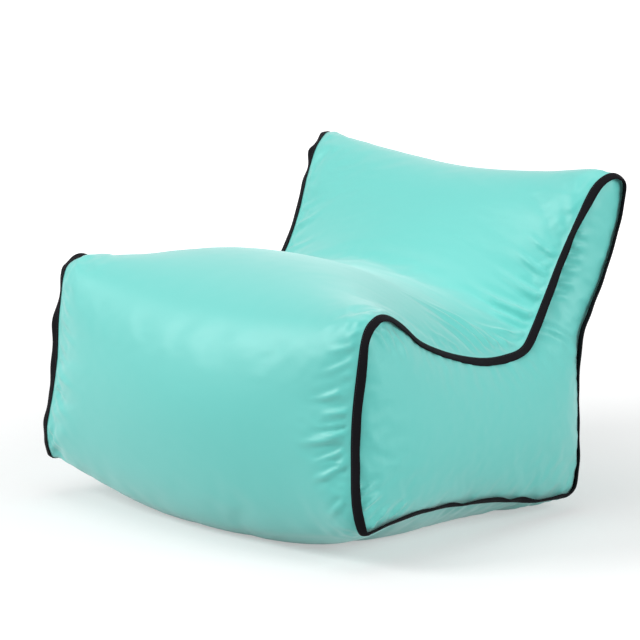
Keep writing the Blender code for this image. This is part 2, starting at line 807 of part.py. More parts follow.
def bridge_hole():
    """Height of the hole under the slider's bridge, which the pull's bar turns in."""
    return PULL_THICKNESS + 2 * CLEARANCE


def add_bridge(foot, shelf):
    """The arch over the slider's upper plate, with its hole already cut."""
    top = foot + bridge_hole() + BRIDGE_WALL
    form = bmesh.new()
    outer = [
        (-BRIDGE_HALF_LENGTH, foot - SLIDER_PLATE / 2),
        (-BRIDGE_HALF_LENGTH, top - BRIDGE_WALL),
        (-BRIDGE_HALF_LENGTH + BRIDGE_WALL, top),
        (BRIDGE_HALF_LENGTH - BRIDGE_WALL, top),
        (BRIDGE_HALF_LENGTH, top - BRIDGE_WALL),
        (BRIDGE_HALF_LENGTH, foot - SLIDER_PLATE / 2),
    ]
    hole = BRIDGE_HALF_LENGTH - BRIDGE_WALL
    inner = [
        (hole, foot - SLIDER_PLATE / 2),
        (hole, top - BRIDGE_WALL),
        (-hole, top - BRIDGE_WALL),
        (-hole, foot - SLIDER_PLATE / 2),
    ]
    face = form.faces.new(
        [form.verts.new((along, out, -BRIDGE_HALF_WIDTH)) for along, out in outer + inner]
    )
    raised = bmesh.ops.extrude_face_region(form, geom=[face])["geom"]
    moved = [v for v in raised if isinstance(v, bmesh.types.BMVert)]
    bmesh.ops.translate(form, verts=moved, vec=(0, 0, 2 * BRIDGE_HALF_WIDTH))
    bmesh.ops.recalc_face_normals(form, faces=form.faces)
    mesh = bpy.data.meshes.new("slider_bridge")
    form.to_mesh(mesh)
    form.free()
    return add_object("slider_bridge", mesh, shelf.cutters)


def add_zip_pull(slider, arc, shelf, material):
    """The pull: a flat tab whose eye goes round the bridge, turning on the bar at its end."""
    outside = CHAIN_THICKNESS / 2 + CLEARANCE + SLIDER_PLATE
    axis = arc.radius + chain_level() + outside + bridge_hole() / 2
    bar, eye_half = PULL_THICKNESS / 2, BRIDGE_HALF_WIDTH + CLEARANCE
    eye_end = -bar - PULL_EYE_LENGTH
    eye_outer = eye_half + PULL_ARM
    outline = (
        (bar, eye_outer),
        (bar, -eye_outer),
        (eye_end - PULL_ARM, -eye_outer),
        (bar - PULL_LENGTH + PULL_ARM, -PULL_HALF_WIDTH),
        (bar - PULL_LENGTH, -PULL_HALF_WIDTH + PULL_ARM),
        (bar - PULL_LENGTH, PULL_HALF_WIDTH - PULL_ARM),
        (bar - PULL_LENGTH + PULL_ARM, PULL_HALF_WIDTH),
        (eye_end - PULL_ARM, eye_outer),
    )
    eye = ((-bar, eye_half), (-bar, -eye_half), (eye_end, -eye_half), (eye_end, eye_half))
    grip_start = bar - PULL_LENGTH + 2 * PULL_ARM
    grip = (
        (grip_start, PULL_GRIP_HALF_WIDTH),
        (grip_start, -PULL_GRIP_HALF_WIDTH),
        (grip_start + PULL_GRIP_LENGTH, -PULL_GRIP_HALF_WIDTH),
        (grip_start + PULL_GRIP_LENGTH, PULL_GRIP_HALF_WIDTH),
    )
    curve = bpy.data.curves.new("zip_pull", "CURVE")
    curve.dimensions = "2D"
    curve.fill_mode = "BOTH"
    curve.extrude = PULL_THICKNESS / 2
    for loop in (outline, eye, grip):
        line = curve.splines.new("POLY")
        line.points.add(len(loop) - 1)
        for point, (along, up) in zip(line.points, loop):
            point.co = (along, up, 0, 1)
        line.use_cyclic_u = True
    pull = bpy.data.objects.new("zip_pull", curve)
    shelf.parts.objects.link(pull)
    curve.materials.append(material)
    pull.parent = slider
    pull.location = (0, axis, 0)
    pull.rotation_euler = (math.pi / 2, 0, 0)
    return pull


def add_zip(shelf, cloth_tape, plastic, metal):
    arc = find_zip_arc()
    half = ZIP_LENGTH / 2
    for way, word in ((1, "upper"), (-1, "lower")):
        add_zip_tape(f"zip_tape_{word}", way, arc, shelf, cloth_tape)
    parked = half - STOP_LENGTH - CLEARANCE - SLIDER_LENGTH / 2
    wedge_start = parked + SLIDER_LENGTH / 2 - WEDGE_LENGTH - STOP_BEVEL
    chain_end = wedge_start - CLEARANCE - TOOTH_PITCH / 2
    chain_start = CLOSING_STOP_LENGTH + CLEARANCE - half
    for way, word in ((1, "upper"), (-1, "lower")):
        add_zip_teeth(f"zip_teeth_{word}", way, chain_start, chain_end, arc, shelf, plastic)
        ups = sorted((way * WEDGE_HALF_WIDTH, way * CHAIN_HALF))
        add_zip_stop(
            f"zip_end_stop_{word}", half - STOP_LENGTH / 2, STOP_LENGTH, ups, arc, shelf, plastic
        )
    closing = CLOSING_STOP_LENGTH
    both = (-CHAIN_HALF, CHAIN_HALF)
    add_zip_stop("zip_closing_stop", closing / 2 - half, closing, both, arc, shelf, plastic)
    slider = add_zip_slider(parked, arc, shelf, metal)
    add_zip_pull(slider, arc, shelf, metal)


class ValveLevels(NamedTuple):
    """Heights along the valve's axis, measured out from the cover's outer face."""

    flange_bottom: float
    flange_top: float
    thread_bottom: float
    collar_top: float
    cap_inside: float
    cap_outside: float
    eye_bottom: float


def find_valve_levels():
    flange_bottom = CLEARANCE - bladder_depth(named("valve_line"))
    ring_top = CLEARANCE + RING_THICKNESS
    cap_inside = COLLAR_HEIGHT + 2 * CLEARANCE + SEAL_THICKNESS
    return ValveLevels(
        flange_bottom,
        flange_bottom + FLANGE_THICKNESS,
        ring_top + CLEARANCE + TETHER + CLEARANCE,
        COLLAR_HEIGHT,
        cap_inside,
        cap_inside + CAP_TOP,
        cap_inside + CAP_TOP + CLEARANCE,
    )


def add_valve_base(levels, valve, shelf, material):
    """The moulded base: a flange on the film and a collar with a thread's crest standing proud."""
    crest = NECK_RADIUS + THREAD_DEPTH
    profile = (
        (crest, levels.collar_top),
        (crest, levels.thread_bottom + THREAD_DEPTH),
        (NECK_RADIUS, levels.thread_bottom),
        (NECK_RADIUS, levels.flange_top),
        (FLANGE_RADIUS, levels.flange_top),
        (FLANGE_RADIUS, levels.flange_bottom),
        (BORE_RADIUS, levels.flange_bottom),
        (BORE_RADIUS, levels.collar_top),
    )
    set_on_valve(add_turned("valve_base", profile, shelf.parts, material), valve)


def insert_bottom():
    return -INSERT_DEPTH


def add_valve_insert(valve, shelf, material):
    """The one-way seat: a ring in the collar with a lip, spokes and a hub for the flap's stem."""
    outer, bottom = BORE_RADIUS - CLEARANCE, insert_bottom()
    wall, lip = outer - INSERT_WALL, outer - INSERT_WALL - INSERT_LIP
    lip_top, hub_top = bottom + INSERT_LIP_HEIGHT, bottom + HUB_HEIGHT
    profile = (
        (outer, bottom + INSERT_HEIGHT),
        (outer, bottom),
        (lip, bottom),
        (lip, lip_top),
        (wall, lip_top),
        (wall, bottom + INSERT_HEIGHT),
    )
    seat = add_turned("valve_insert", profile, shelf.parts, material)
    for k in range(SPOKES):
        reach = lip + INSERT_LIP / 2
        low = (0, -SPOKE_WIDTH / 2, bottom + CLEARANCE / 2)
        spoke = add_block(
            f"seat_spoke_{k}", low, (reach, SPOKE_WIDTH / 2, lip_top - CLEARANCE / 2), shelf.cutters
        )
        spoke.rotation_euler = (0, 0, math.tau * k / SPOKES)
        combine(seat, spoke, "UNION", shelf)
    hub = add_rod("seat_hub", HUB_RADIUS, bottom, hub_top, shelf.cutters)
    combine(seat, hub, "UNION", shelf)
    bore = add_rod(
        "seat_bore", STEM_RADIUS + CLEARANCE, bottom - OVERRUN, hub_top + OVERRUN, shelf.cutters
    )
    combine(seat, bore, "DIFFERENCE", shelf)
    set_on_valve(seat, valve)


def add_valve_flap(valve, shelf, material):
    """The soft one-way flap, with the stem and bulb that hang it from the hub."""
    radius = BORE_RADIUS - CLEARANCE - INSERT_WALL - INSERT_LIP / 3
    top = insert_bottom() - CLEARANCE
    bulb = insert_bottom() + HUB_HEIGHT + FLAP_TRAVEL + CLEARANCE
    profile = (
        (0, bulb + BULB_HEIGHT),
        (BULB_RADIUS / 2, bulb + BULB_HEIGHT),
        (BULB_RADIUS, bulb),
        (STEM_RADIUS, bulb),
        (STEM_RADIUS, top),
        (radius, top),
        (radius, top - FLAP_THICKNESS / 2),
        (0, top - FLAP_THICKNESS),
    )
    flap = add_turned("valve_flap", profile, shelf.parts, material, ring=False)
    set_on_valve(flap, valve)


def cap_radius():
    return NECK_RADIUS + THREAD_DEPTH + CLEARANCE + CAP_WALL


def add_valve_cap(levels, valve, shelf, material):
    """The screw cap: a fluted skirt, and a headed stud on top that the tether's eye turns on."""
    outer, inner = cap_radius(), cap_radius() - CAP_WALL
    head_bottom = levels.eye_bottom + TETHER + CLEARANCE
    head_top = head_bottom + STUD_HEAD_HEIGHT
    profile = (
        (0, head_top),
        (STUD_HEAD_RADIUS, head_top),
        (STUD_HEAD_RADIUS, head_bottom),
        (STUD_RADIUS, head_bottom),
        (STUD_RADIUS, levels.cap_outside),
        (outer - CAP_BEVEL, levels.cap_outside),
        (outer, levels.cap_outside - CAP_BEVEL),
        (outer, levels.thread_bottom),
        (inner, levels.thread_bottom),
        (inner, levels.cap_inside),
        (0, levels.cap_inside),
    )
    cap = add_turned("valve_cap", profile, shelf.parts, material, ring=False)
    centre = outer + FLUTE_RADIUS - FLUTE_DEPTH
    for k in range(FLUTES):
        angle = math.tau * k / FLUTES
        flute = add_rod(
            f"cap_flute_{k}",
            FLUTE_RADIUS,
            levels.thread_bottom - OVERRUN,
            levels.cap_outside + OVERRUN,
            shelf.cutters,
            (centre * math.cos(angle), centre * math.sin(angle)),
            TURNED_STEPS // 2,
        )
        combine(cap, flute, "DIFFERENCE", shelf)
    set_on_valve(cap, valve)


def add_cap_seal(levels, valve, shelf, material):
    """The flat washer between the collar's end and the cap."""
    low = levels.collar_top + CLEARANCE
    high = low + SEAL_THICKNESS
    inner, outer = BORE_RADIUS + CLEARANCE, NECK_RADIUS + THREAD_DEPTH - CLEARANCE
    profile = ((outer, high), (outer, low), (inner, low), (inner, high))
    set_on_valve(add_turned("cap_seal", profile, shelf.parts, material), valve)


def add_cap_tether(levels, valve, shelf, material):
    """The cap's tether: a ring round the collar's neck, a strap that turns back, and the stud's eye."""
    ring_low = CLEARANCE + RING_THICKNESS + CLEARANCE
    ring_in = NECK_RADIUS + CLEARANCE
    ring_out = ring_in + TETHER_RING_WIDTH
    profile = (
        (ring_out, ring_low + TETHER),
        (ring_out, ring_low),
        (ring_in, ring_low),
        (ring_in, ring_low + TETHER),
    )
    tether = add_turned("cap_tether", profile, shelf.parts, material)
    eye_in, eye_low = STUD_RADIUS + CLEARANCE, levels.eye_bottom
    eye_out = eye_in + TETHER_EYE_WIDTH
    eye = (
        (eye_out, eye_low + TETHER),
        (eye_out, eye_low),
        (eye_in, eye_low),
        (eye_in, eye_low + TETHER),
    )
    combine(tether, add_turned("tether_eye", eye, shelf.cutters), "UNION", shelf)
    combine(tether, add_tether_strap(ring_low, ring_out, eye_low, eye_out, shelf), "UNION", shelf)
    set_on_valve(tether, valve)


def add_tether_strap(ring_low, ring_out, eye_low, eye_out, shelf):
    """The strap, as an outline along its path given a width: out, round a half circle and back."""
    reach = cap_radius() + TETHER_REACH
    low, high = ring_low + TETHER / 2, eye_low + TETHER / 2
    radius, middle = (high - low) / 2, (high + low) / 2
    path = [(ring_out - TETHER, low, 0)]
    for k in range(STRAP_STEPS + 1):
        angle = math.pi * (k / STRAP_STEPS - 0.5)
        path.append((reach + radius * math.cos(angle), middle + radius * math.sin(angle), angle))
    path.append((eye_out - TETHER, high, math.pi / 2))
    path[0] = (*path[0][:2], -math.pi / 2)
    faces = ([], [])
    inset = CLEARANCE / 3
    for face, offset in zip(faces, (TETHER / 2 - inset, inset - TETHER / 2)):
        for along, up, angle in path:
            x, z = along + offset * math.cos(angle), up + offset * math.sin(angle)
            face.append([np.array([x, y, z]) for y in (-TETHER_HALF_WIDTH, TETHER_HALF_WIDTH)])
    return add_sheet("tether_strap", *faces, shelf, None)


def add_valve_ring(valve, shelf, material):
    """The ring sewn round the hole in the cloth, lying on the swollen panel."""
    inner = NECK_RADIUS + HOLE_MARGIN - CLEARANCE * 3
    radii = (inner, inner + RING_WIDTH)
    faces = ([], [])
    for face, out in zip(faces, (CLEARANCE + RING_THICKNESS, CLEARANCE)):
        for k in range(RIM_STEPS):
            angle = math.tau * k / RIM_STEPS
            face.append(
                [
                    strip_face(
                        station_at_height(valve.z + radius * math.sin(angle)),
                        radius * math.cos(angle),
                        -out,
                    )
                    for radius in radii
                ]
            )
    return add_sheet("valve_hole_ring", *faces, shelf, material, closed=True)


def add_valve(base, valve, shelf, plastic, soft):
    hole = add_rod(
        "valve_hole", NECK_RADIUS + HOLE_MARGIN, -FLANGE_RADIUS, FLANGE_RADIUS, shelf.cutters
    )
    set_on_valve(hole, valve)
    combine(base, hole, "DIFFERENCE", shelf)
    levels = find_valve_levels()
    add_valve_ring(valve, shelf, plastic)
    add_valve_base(levels, valve, shelf, plastic)
    add_valve_insert(valve, shelf, plastic)
    add_valve_flap(valve, shelf, soft)
    add_valve_cap(levels, valve, shelf, plastic)
    add_cap_seal(levels, valve, shelf, soft)
    add_cap_tether(levels, valve, shelf, soft)


def centre_on_origin(shelf):
    """Moves the seat so that its footprint's middle is over the origin."""
    ys = [
        vertex.co.y
        for name in ("seam_tape_right", "seat_panel")
        for vertex in bpy.data.objects[name].data.vertices
    ]
    middle = (min(ys) + max(ys)) / 2
    for thing in [*shelf.parts.objects, *shelf.cutters.objects]:
        if thing.parent is None:
            thing.location.y -= middle


def main():
    clear_scene()
    shelf = make_collections()
    cloth = make_material("coated_cloth", (0.30, 0.78, 0.72), 0.55)
    tape = make_material("binding_tape", (0.010, 0.010, 0.012), 0.80)
    film = make_material("clear_film", (0.80, 0.84, 0.86), 0.30)
    plastic = make_material("moulded_plastic", (0.02, 0.02, 0.022), 0.45)
    soft = make_material("soft_plastic", (0.06, 0.06, 0.065), 0.60)
    metal = make_material("black_lacquered_zinc", (0.03, 0.03, 0.033), 0.35, 0.8)
    base, rows = add_cover(shelf, cloth, tape)
    valve = Vector(strip_point(named("valve_line"), 0))
    add_zip(shelf, tape, plastic, metal)
    add_bladder(rows, valve, shelf, film)
    add_valve(base, valve, shelf, plastic, soft)
    centre_on_origin(shelf)


main()
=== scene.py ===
"""Looks of the inflatable baby seat: sewn cloth, bound seams, zip and valve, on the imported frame.

The cover is simulated as cloth. It starts in the form that the part's source states, with spare cloth
along its seams where the strip's middle is longer than its edges, and pressure inside draws that spare
cloth into puckers. Most of the broad swelling is taken back. The panels, the binding, the bladder and
every seam are then built on the result, and the folds and puckers that need a set place are pressed in.
"""

import logging
import math
from dataclasses import dataclass
from enum import Enum
from typing import Sequence

import bmesh
import bpy
import numpy as np
from mathutils import Matrix, Vector
from mathutils.geometry import delaunay_2d_cdt
from mathutils.kdtree import KDTree


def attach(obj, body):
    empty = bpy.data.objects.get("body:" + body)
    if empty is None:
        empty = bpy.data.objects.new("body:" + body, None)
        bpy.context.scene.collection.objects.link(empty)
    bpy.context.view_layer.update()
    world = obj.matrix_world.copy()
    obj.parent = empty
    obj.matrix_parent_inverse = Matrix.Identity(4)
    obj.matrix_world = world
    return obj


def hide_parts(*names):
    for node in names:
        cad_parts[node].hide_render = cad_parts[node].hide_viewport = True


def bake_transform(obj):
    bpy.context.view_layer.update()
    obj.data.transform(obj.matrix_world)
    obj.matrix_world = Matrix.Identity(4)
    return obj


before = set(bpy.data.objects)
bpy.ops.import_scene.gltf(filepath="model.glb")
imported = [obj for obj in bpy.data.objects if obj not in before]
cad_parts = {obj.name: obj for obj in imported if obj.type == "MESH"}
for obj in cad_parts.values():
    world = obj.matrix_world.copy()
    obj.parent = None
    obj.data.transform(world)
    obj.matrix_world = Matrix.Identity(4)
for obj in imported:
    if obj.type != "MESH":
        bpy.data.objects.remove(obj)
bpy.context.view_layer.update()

log = logging.getLogger("baby_seat")
MM = 0.001
# How many bands a Wave texture of scale 1 has in a unit of length.
WAVE_BANDS = 3.18

# Each row is a name, the seam's place behind the front seam's foot and above the floor as shares of the
# seat's depth and height, its half spread as a share of half the spread, and the place of the strip's
# middle. They are the stations of the part's source.
STATION_SHARES = (
    ("base_front", 0.156, 0.117, 1.040, 0.180, -0.034),
    ("toe_under", 0.062, 0.111, 1.058, 0.072, -0.016),
    ("toe", 0.018, 0.109, 1.066, 0.016, 0.014),
    ("toe_front", -0.006, 0.124, 1.067, -0.022, 0.046),
    ("front_low", -0.024, 0.203, 1.064, -0.064, 0.143),
    ("front_mid", -0.016, 0.314, 1.042, -0.088, 0.286),
    ("front_high", -0.006, 0.429, 1.026, -0.086, 0.429),
    ("brow_low", 0.006, 0.571, 1.032, -0.054, 0.571),
    ("brow", 0.024, 0.683, 1.037, -0.010, 0.662),
    ("brow_top", 0.058, 0.718, 1.034, 0.044, 0.717),
    ("seat_front", 0.108, 0.716, 1.016, 0.110, 0.757),
    ("seat_ramp", 0.170, 0.676, 1.005, 0.184, 0.781),
    ("seat_mid", 0.246, 0.608, 0.997, 0.270, 0.784),
    ("seat_rear", 0.360, 0.550, 0.988, 0.380, 0.757),
    ("valley_front", 0.480, 0.511, 0.978, 0.480, 0.714),
    ("valley", 0.580, 0.501, 0.964, 0.566, 0.688),
    ("valley_rear", 0.650, 0.512, 0.945, 0.624, 0.695),
    ("back_foot", 0.704, 0.557, 0.915, 0.670, 0.721),
    ("back_low", 0.760, 0.636, 0.895, 0.724, 0.774),
    ("back_mid", 0.813, 0.750, 0.903, 0.780, 0.838),
    ("back_high", 0.859, 0.864, 0.932, 0.828, 0.895),
    ("ear_front", 0.900, 0.950, 0.948, 0.872, 0.935),
    ("ear_top", 0.940, 0.986, 0.964, 0.916, 0.952),
    ("ear", 0.976, 0.990, 0.983, 0.960, 0.944),
    ("ear_back", 1.000, 0.952, 0.996, 1.000, 0.902),
    ("back_rear", 0.980, 0.833, 0.999, 1.022, 0.810),
    ("back_waist", 0.934, 0.710, 1.000, 1.000, 0.690),
    ("kink_over", 0.874, 0.600, 1.000, 0.956, 0.583),
    ("kink", 0.836, 0.526, 1.002, 0.924, 0.500),
    ("zip_line", 0.831, 0.393, 1.004, 0.911, 0.393),
    ("rear_high", 0.831, 0.310, 1.005, 0.909, 0.310),
    ("valve_line", 0.831, 0.226, 1.007, 0.912, 0.226),
    ("rear_low", 0.831, 0.142, 1.009, 0.909, 0.142),
    ("heel_rear", 0.818, 0.069, 1.011, 0.886, 0.057),
    ("heel", 0.792, 0.042, 1.012, 0.840, 0.005),
    ("heel_under", 0.740, 0.043, 1.012, 0.760, -0.028),
    ("base_rear", 0.651, 0.056, 1.013, 0.640, -0.036),
    ("base_mid", 0.497, 0.093, 1.018, 0.490, -0.038),
    ("base_fore", 0.300, 0.118, 1.028, 0.310, -0.038),
)

# How the strip's arc differs from the part's plain one: the power of its drop towards the seams, where
# more than 1 is fuller at the shoulders. The seat rests on full shoulders and its toe is slacker.
ARC_POWERS = (
    ("base_front", 1.5),
    ("toe", 0.95),
    ("front_low", 0.92),
    ("front_high", 1.0),
    ("brow_top", 1.12),
    ("seat_ramp", 1.32),
    ("seat_rear", 1.25),
    ("valley_rear", 1.0),
    ("back_high", 1.0),
    ("ear_top", 0.75),
    ("ear_back", 0.9),
    ("kink", 1.0),
    ("valve_line", 1.0),
    ("heel_rear", 1.0),
    ("base_rear", 1.7),
    ("base_fore", 2.0),
)

# How high the strip swells beside its seams, in millimetres, because its cloth is gathered there: on
# the right, then on the left.
SHOULDERS = (
    ("base_front", 2, -2),
    ("toe", 2, -5),
    ("toe_front", 2, -6),
    ("front_low", 6, -4),
    ("front_mid", 12, 5),
    ("front_high", 13, 10),
    ("brow", 9, 9),
    ("seat_front", 9, 9),
    ("seat_rear", 8, 6),
    ("valley", 4, 4),
    ("back_low", 4, 4),
    ("back_high", 6, 3),
    ("ear_front", 10, 1),
    ("ear_top", 14, 1),
    ("ear_back", 8, 2),
    ("back_rear", 4, 4),
    ("kink", 0, 0),
    ("heel_rear", 0, 0),
    ("base_rear", 2, 2),
)

# How far the right-hand seam lies outside its plain run, in millimetres.
RIGHT_SHIFTS = (
    ("base_front", 0),
    ("toe", 1),
    ("front_low", 3.5),
    ("front_high", 3.5),
    ("brow", 3),
    ("seat_front", 3),
    ("valley", 5),
    ("valley_rear", 3.5),
    ("back_low", 3),
    ("back_high", 2.5),
    ("ear_front", 1),
    ("ear", 0),
    ("base_mid", 0),
)

# How the left-hand seam lies off the right-hand one's mirror image, in millimetres: drawn in, and up.
LEFT_SHIFTS = (
    ("base_front", 2, 0),
    ("front_low", 3, 0),
    ("front_high", 6, 0),
    ("brow", 6, -2),
    ("seat_front", 4, -1),
    ("valley", 3, 0),
    ("back_low", 4, 0),
    ("back_high", 4, -4),
    ("ear_front", 4, -8),
    ("ear", 3, -8),
    ("back_rear", 2, -3),
    ("kink", 0, 0),
    ("heel_rear", 0, 0),
    ("base_rear", 0, 0),
)

# Small puckers along the bound seams: how far apart, how high and how long, in millimetres.
PUCKERS = (
    ("base_front", 24, 1.0, 22),
    ("toe", 15, 1.0, 20),
    ("front_low", 27, 0.9, 26),
    ("front_high", 28, 0.8, 26),
    ("brow", 13, 1.1, 22),
    ("brow_top", 12, 1.1, 22),
    ("seat_front", 24, 0.8, 24),
    ("valley_front", 18, 1.1, 30),
    ("valley", 14, 1.5, 40),
    ("valley_rear", 13, 1.5, 40),
    ("back_low", 19, 1.3, 32),
    ("back_mid", 26, 1.0, 28),
    ("ear_front", 16, 1.1, 20),
    ("ear_top", 11, 1.2, 16),
    ("ear_back", 13, 1.2, 18),
    ("back_rear", 22, 1.0, 24),
    ("kink_over", 12, 1.6, 30),
    ("kink", 12, 1.8, 34),
    ("zip_line", 26, 0.8, 22),
    ("rear_low", 24, 0.9, 22),
    ("heel", 12, 1.4, 24),
    ("base_rear", 22, 1.1, 26),
)

# Folds given one by one, in millimetres: from, to, half width, height and sideways bow. Those of the strip
# lie on the front beside the right-hand seam, fan out where the seat meets the backrest, and run into
# the backrest's foot. Those of the side panel lie at its corners and across its narrow upper part.
STRIP_FOLDS = (
    ((240, -237, 217), (196, -250, 203), 3.4, 2.6, 2),
    ((252, -236, 171), (185, -258, 150), 3.6, 3.2, 3),
    ((250, -236, 182), (206, -251, 171), 3.0, 2.2, 2),
    ((250, -240, 149), (208, -254, 128), 3.2, 2.4, 2),
    ((252, -243, 133), (208, -254, 107), 3.4, 2.8, 3),
    ((250, -237, 196), (214, -248, 187), 3.0, 1.8, 1),
    ((257, -245, 92), (228, -248, 66), 3.4, 2.0, 2),
    ((252, -228, 256), (202, -243, 232), 3.8, 2.0, 2),
    ((254, -225, 276), (212, -235, 260), 3.4, 1.6, 2),
    ((231, 27, 222), (136, -42, 296), 5.6, 4.6, -12),
    ((229, 42, 221), (146, 2, 280), 5.8, 5.2, -12),
    ((228, 58, 220), (170, 28, 260), 5.0, 4.2, -8),
    ((231, 8, 224), (180, -46, 282), 4.6, 3.6, -7),
    ((228, 74, 220), (190, 48, 246), 4.2, 3.2, -5),
    ((236, -30, 234), (222, -80, 262), 3.6, 1.8, -3),
    ((228, 131, 246), (120, 106, 286), 5.0, 4.6, 6),
    ((227, 107, 227), (172, 45, 252), 4.6, 3.8, 5),
    ((226, 148, 266), (146, 137, 302), 4.6, 3.4, 4),
    ((221, 162, 295), (164, 159, 326), 4.0, 2.6, 3),
    ((227, 121, 238), (160, 96, 264), 4.0, 3.2, 4),
    ((221, 174, 320), (170, 173, 345), 3.8, 2.0, 2),
)
SIDE_FOLDS = (
    ((263, -207, 291), (271, -191, 258), 3.4, 2.2, 3),
    ((263, -196, 292), (272, -172, 254), 3.6, 2.6, 5),
    ((263, -178, 286), (274, -158, 240), 3.8, 2.2, 6),
    ((271, -238, 96), (278, -208, 112), 3.4, 3.2, 2),
    ((271, -236, 80), (279, -202, 98), 3.6, 4.0, 2),
    ((270, -222, 52), (279, -182, 82), 3.8, 4.2, 3),
    ((271, -186, 58), (279, -154, 80), 3.6, 3.0, 3),
    ((226, 181, 349), (245, 213, 342), 3.4, 2.8, 0),
    ((224, 174, 334), (244, 208, 328), 3.4, 3.4, 1),
    ((223, 168, 319), (243, 204, 312), 3.4, 3.6, 1),
    ((223, 161, 305), (242, 198, 298), 3.4, 3.2, 1),
    ((223, 154, 290), (242, 190, 282), 3.4, 3.4, 1),
    ((224, 147, 274), (242, 182, 266), 3.4, 2.8, 1),
    ((229, 124, 240), (257, 178, 204), 4.6, 2.8, 4),
)

# How far the bound seams' fins lean towards the side panels at their feet, and how much further they
# curl over at their edge, in degrees: for the right-hand seam, then for the left-hand one.
FIN_LEANS = (
    ("base_front", 12, 24, 12, 22),
    ("front_low", 12, 26, 12, 20),
    ("front_high", 12, 26, 8, 12),
    ("brow", 10, 24, 12, 24),
    ("seat_front", 12, 26, 12, 26),
    ("valley", 20, 36, 20, 36),
    ("valley_rear", 14, 26, 16, 28),
    ("back_low", 2, 0, 10, 16),
    ("back_high", 2, -6, 12, 18),
    ("ear_front", 8, 14, 14, 24),
    ("ear", 12, 28, 14, 28),
    ("back_rear", 20, 34, 16, 30),
    ("kink", 12, 24, 12, 24),
    ("zip_line", 20, 38, 16, 30),
    ("rear_low", 20, 36, 16, 30),
    ("heel_under", 12, 24, 12, 24),
    ("base_mid", 12, 26, 12, 26),
)

# Where the fin waves off its even lean: station, half width in stations, lean and curl in degrees.
LEFT_WAVES = (
    (2.60, 0.40, -12, -8),
    (4.30, 0.25, -5, -6),
    (5.90, 0.50, -8, -9),
    (6.72, 0.26, -15, -22),
    (7.40, 0.30, 12, 12),
    (8.40, 0.30, -4, -4),
    (9.90, 0.80, -30, -28),
    (20.25, 0.25, 8, 10),
    (20.90, 0.25, -18, -22),
    (22.40, 0.50, -12, -12),
)
RIGHT_WAVES = (
    (2.40, 0.35, -8, -8),
    (4.60, 0.30, -5, -4),
    (5.60, 0.30, 4, 4),
    (6.90, 0.30, 7, 8),
    (7.80, 0.30, -9, -10),
    (8.70, 0.25, 6, 6),
    (11.20, 1.10, 12, -8),
    (13.60, 1.40, 6, -4),
    (19.60, 0.30, -5, -6),
    (20.60, 0.30, 5, 6),
    (35.80, 0.30, -3, -3),
    (36.40, 0.18, 7, 8),
    (36.72, 0.10, -6, -9),
    (37.10, 0.20, 5, 7),
    (37.62, 0.11, -4, -6),
    (37.88, 0.14, 7, 9),
    (38.28, 0.12, -5, -7),
    (38.62, 0.20, 7, 7),
)


class Side(Enum):
    """The two bound seams, by the sign of X."""

    LEFT = -1
    RIGHT = 1


def named(name: str) -> int:
    """The number of a named station."""
    return next(i for i, row in enumerate(STATION_SHARES) if row[0] == name)


def by_station(table: Sequence[tuple], column: int, u: np.ndarray) -> np.ndarray:
    """A column of a table by named stations, evenly between its rows and on round the seat."""
    places = [named(row[0]) for row in table]
    values = [row[column] for row in table]
    return np.interp(u, places, values, period=len(STATION_SHARES))


def unit(vectors: np.ndarray) -> np.ndarray:
    """The same vectors at length 1."""
    return vectors / np.linalg.norm(vectors, axis=-1, keepdims=True)


def smooth_step(low: float, high: float, value: np.ndarray) -> np.ndarray:
    """A smooth rise from 0 at low to 1 at high."""
    share = np.clip((value - low) / (high - low), 0, 1)
    return share * share * (3 - 2 * share)


def colour(code: str) -> tuple[float, float, float, float]:
    """An sRGB hex colour as linear RGBA."""
    parts = [int(code[i : i + 2], 16) / 255 for i in (1, 3, 5)]
    linear = [p / 12.92 if p <= 0.04045 else ((p + 0.055) / 1.055) ** 2.4 for p in parts]
    return (*linear, 1.0)


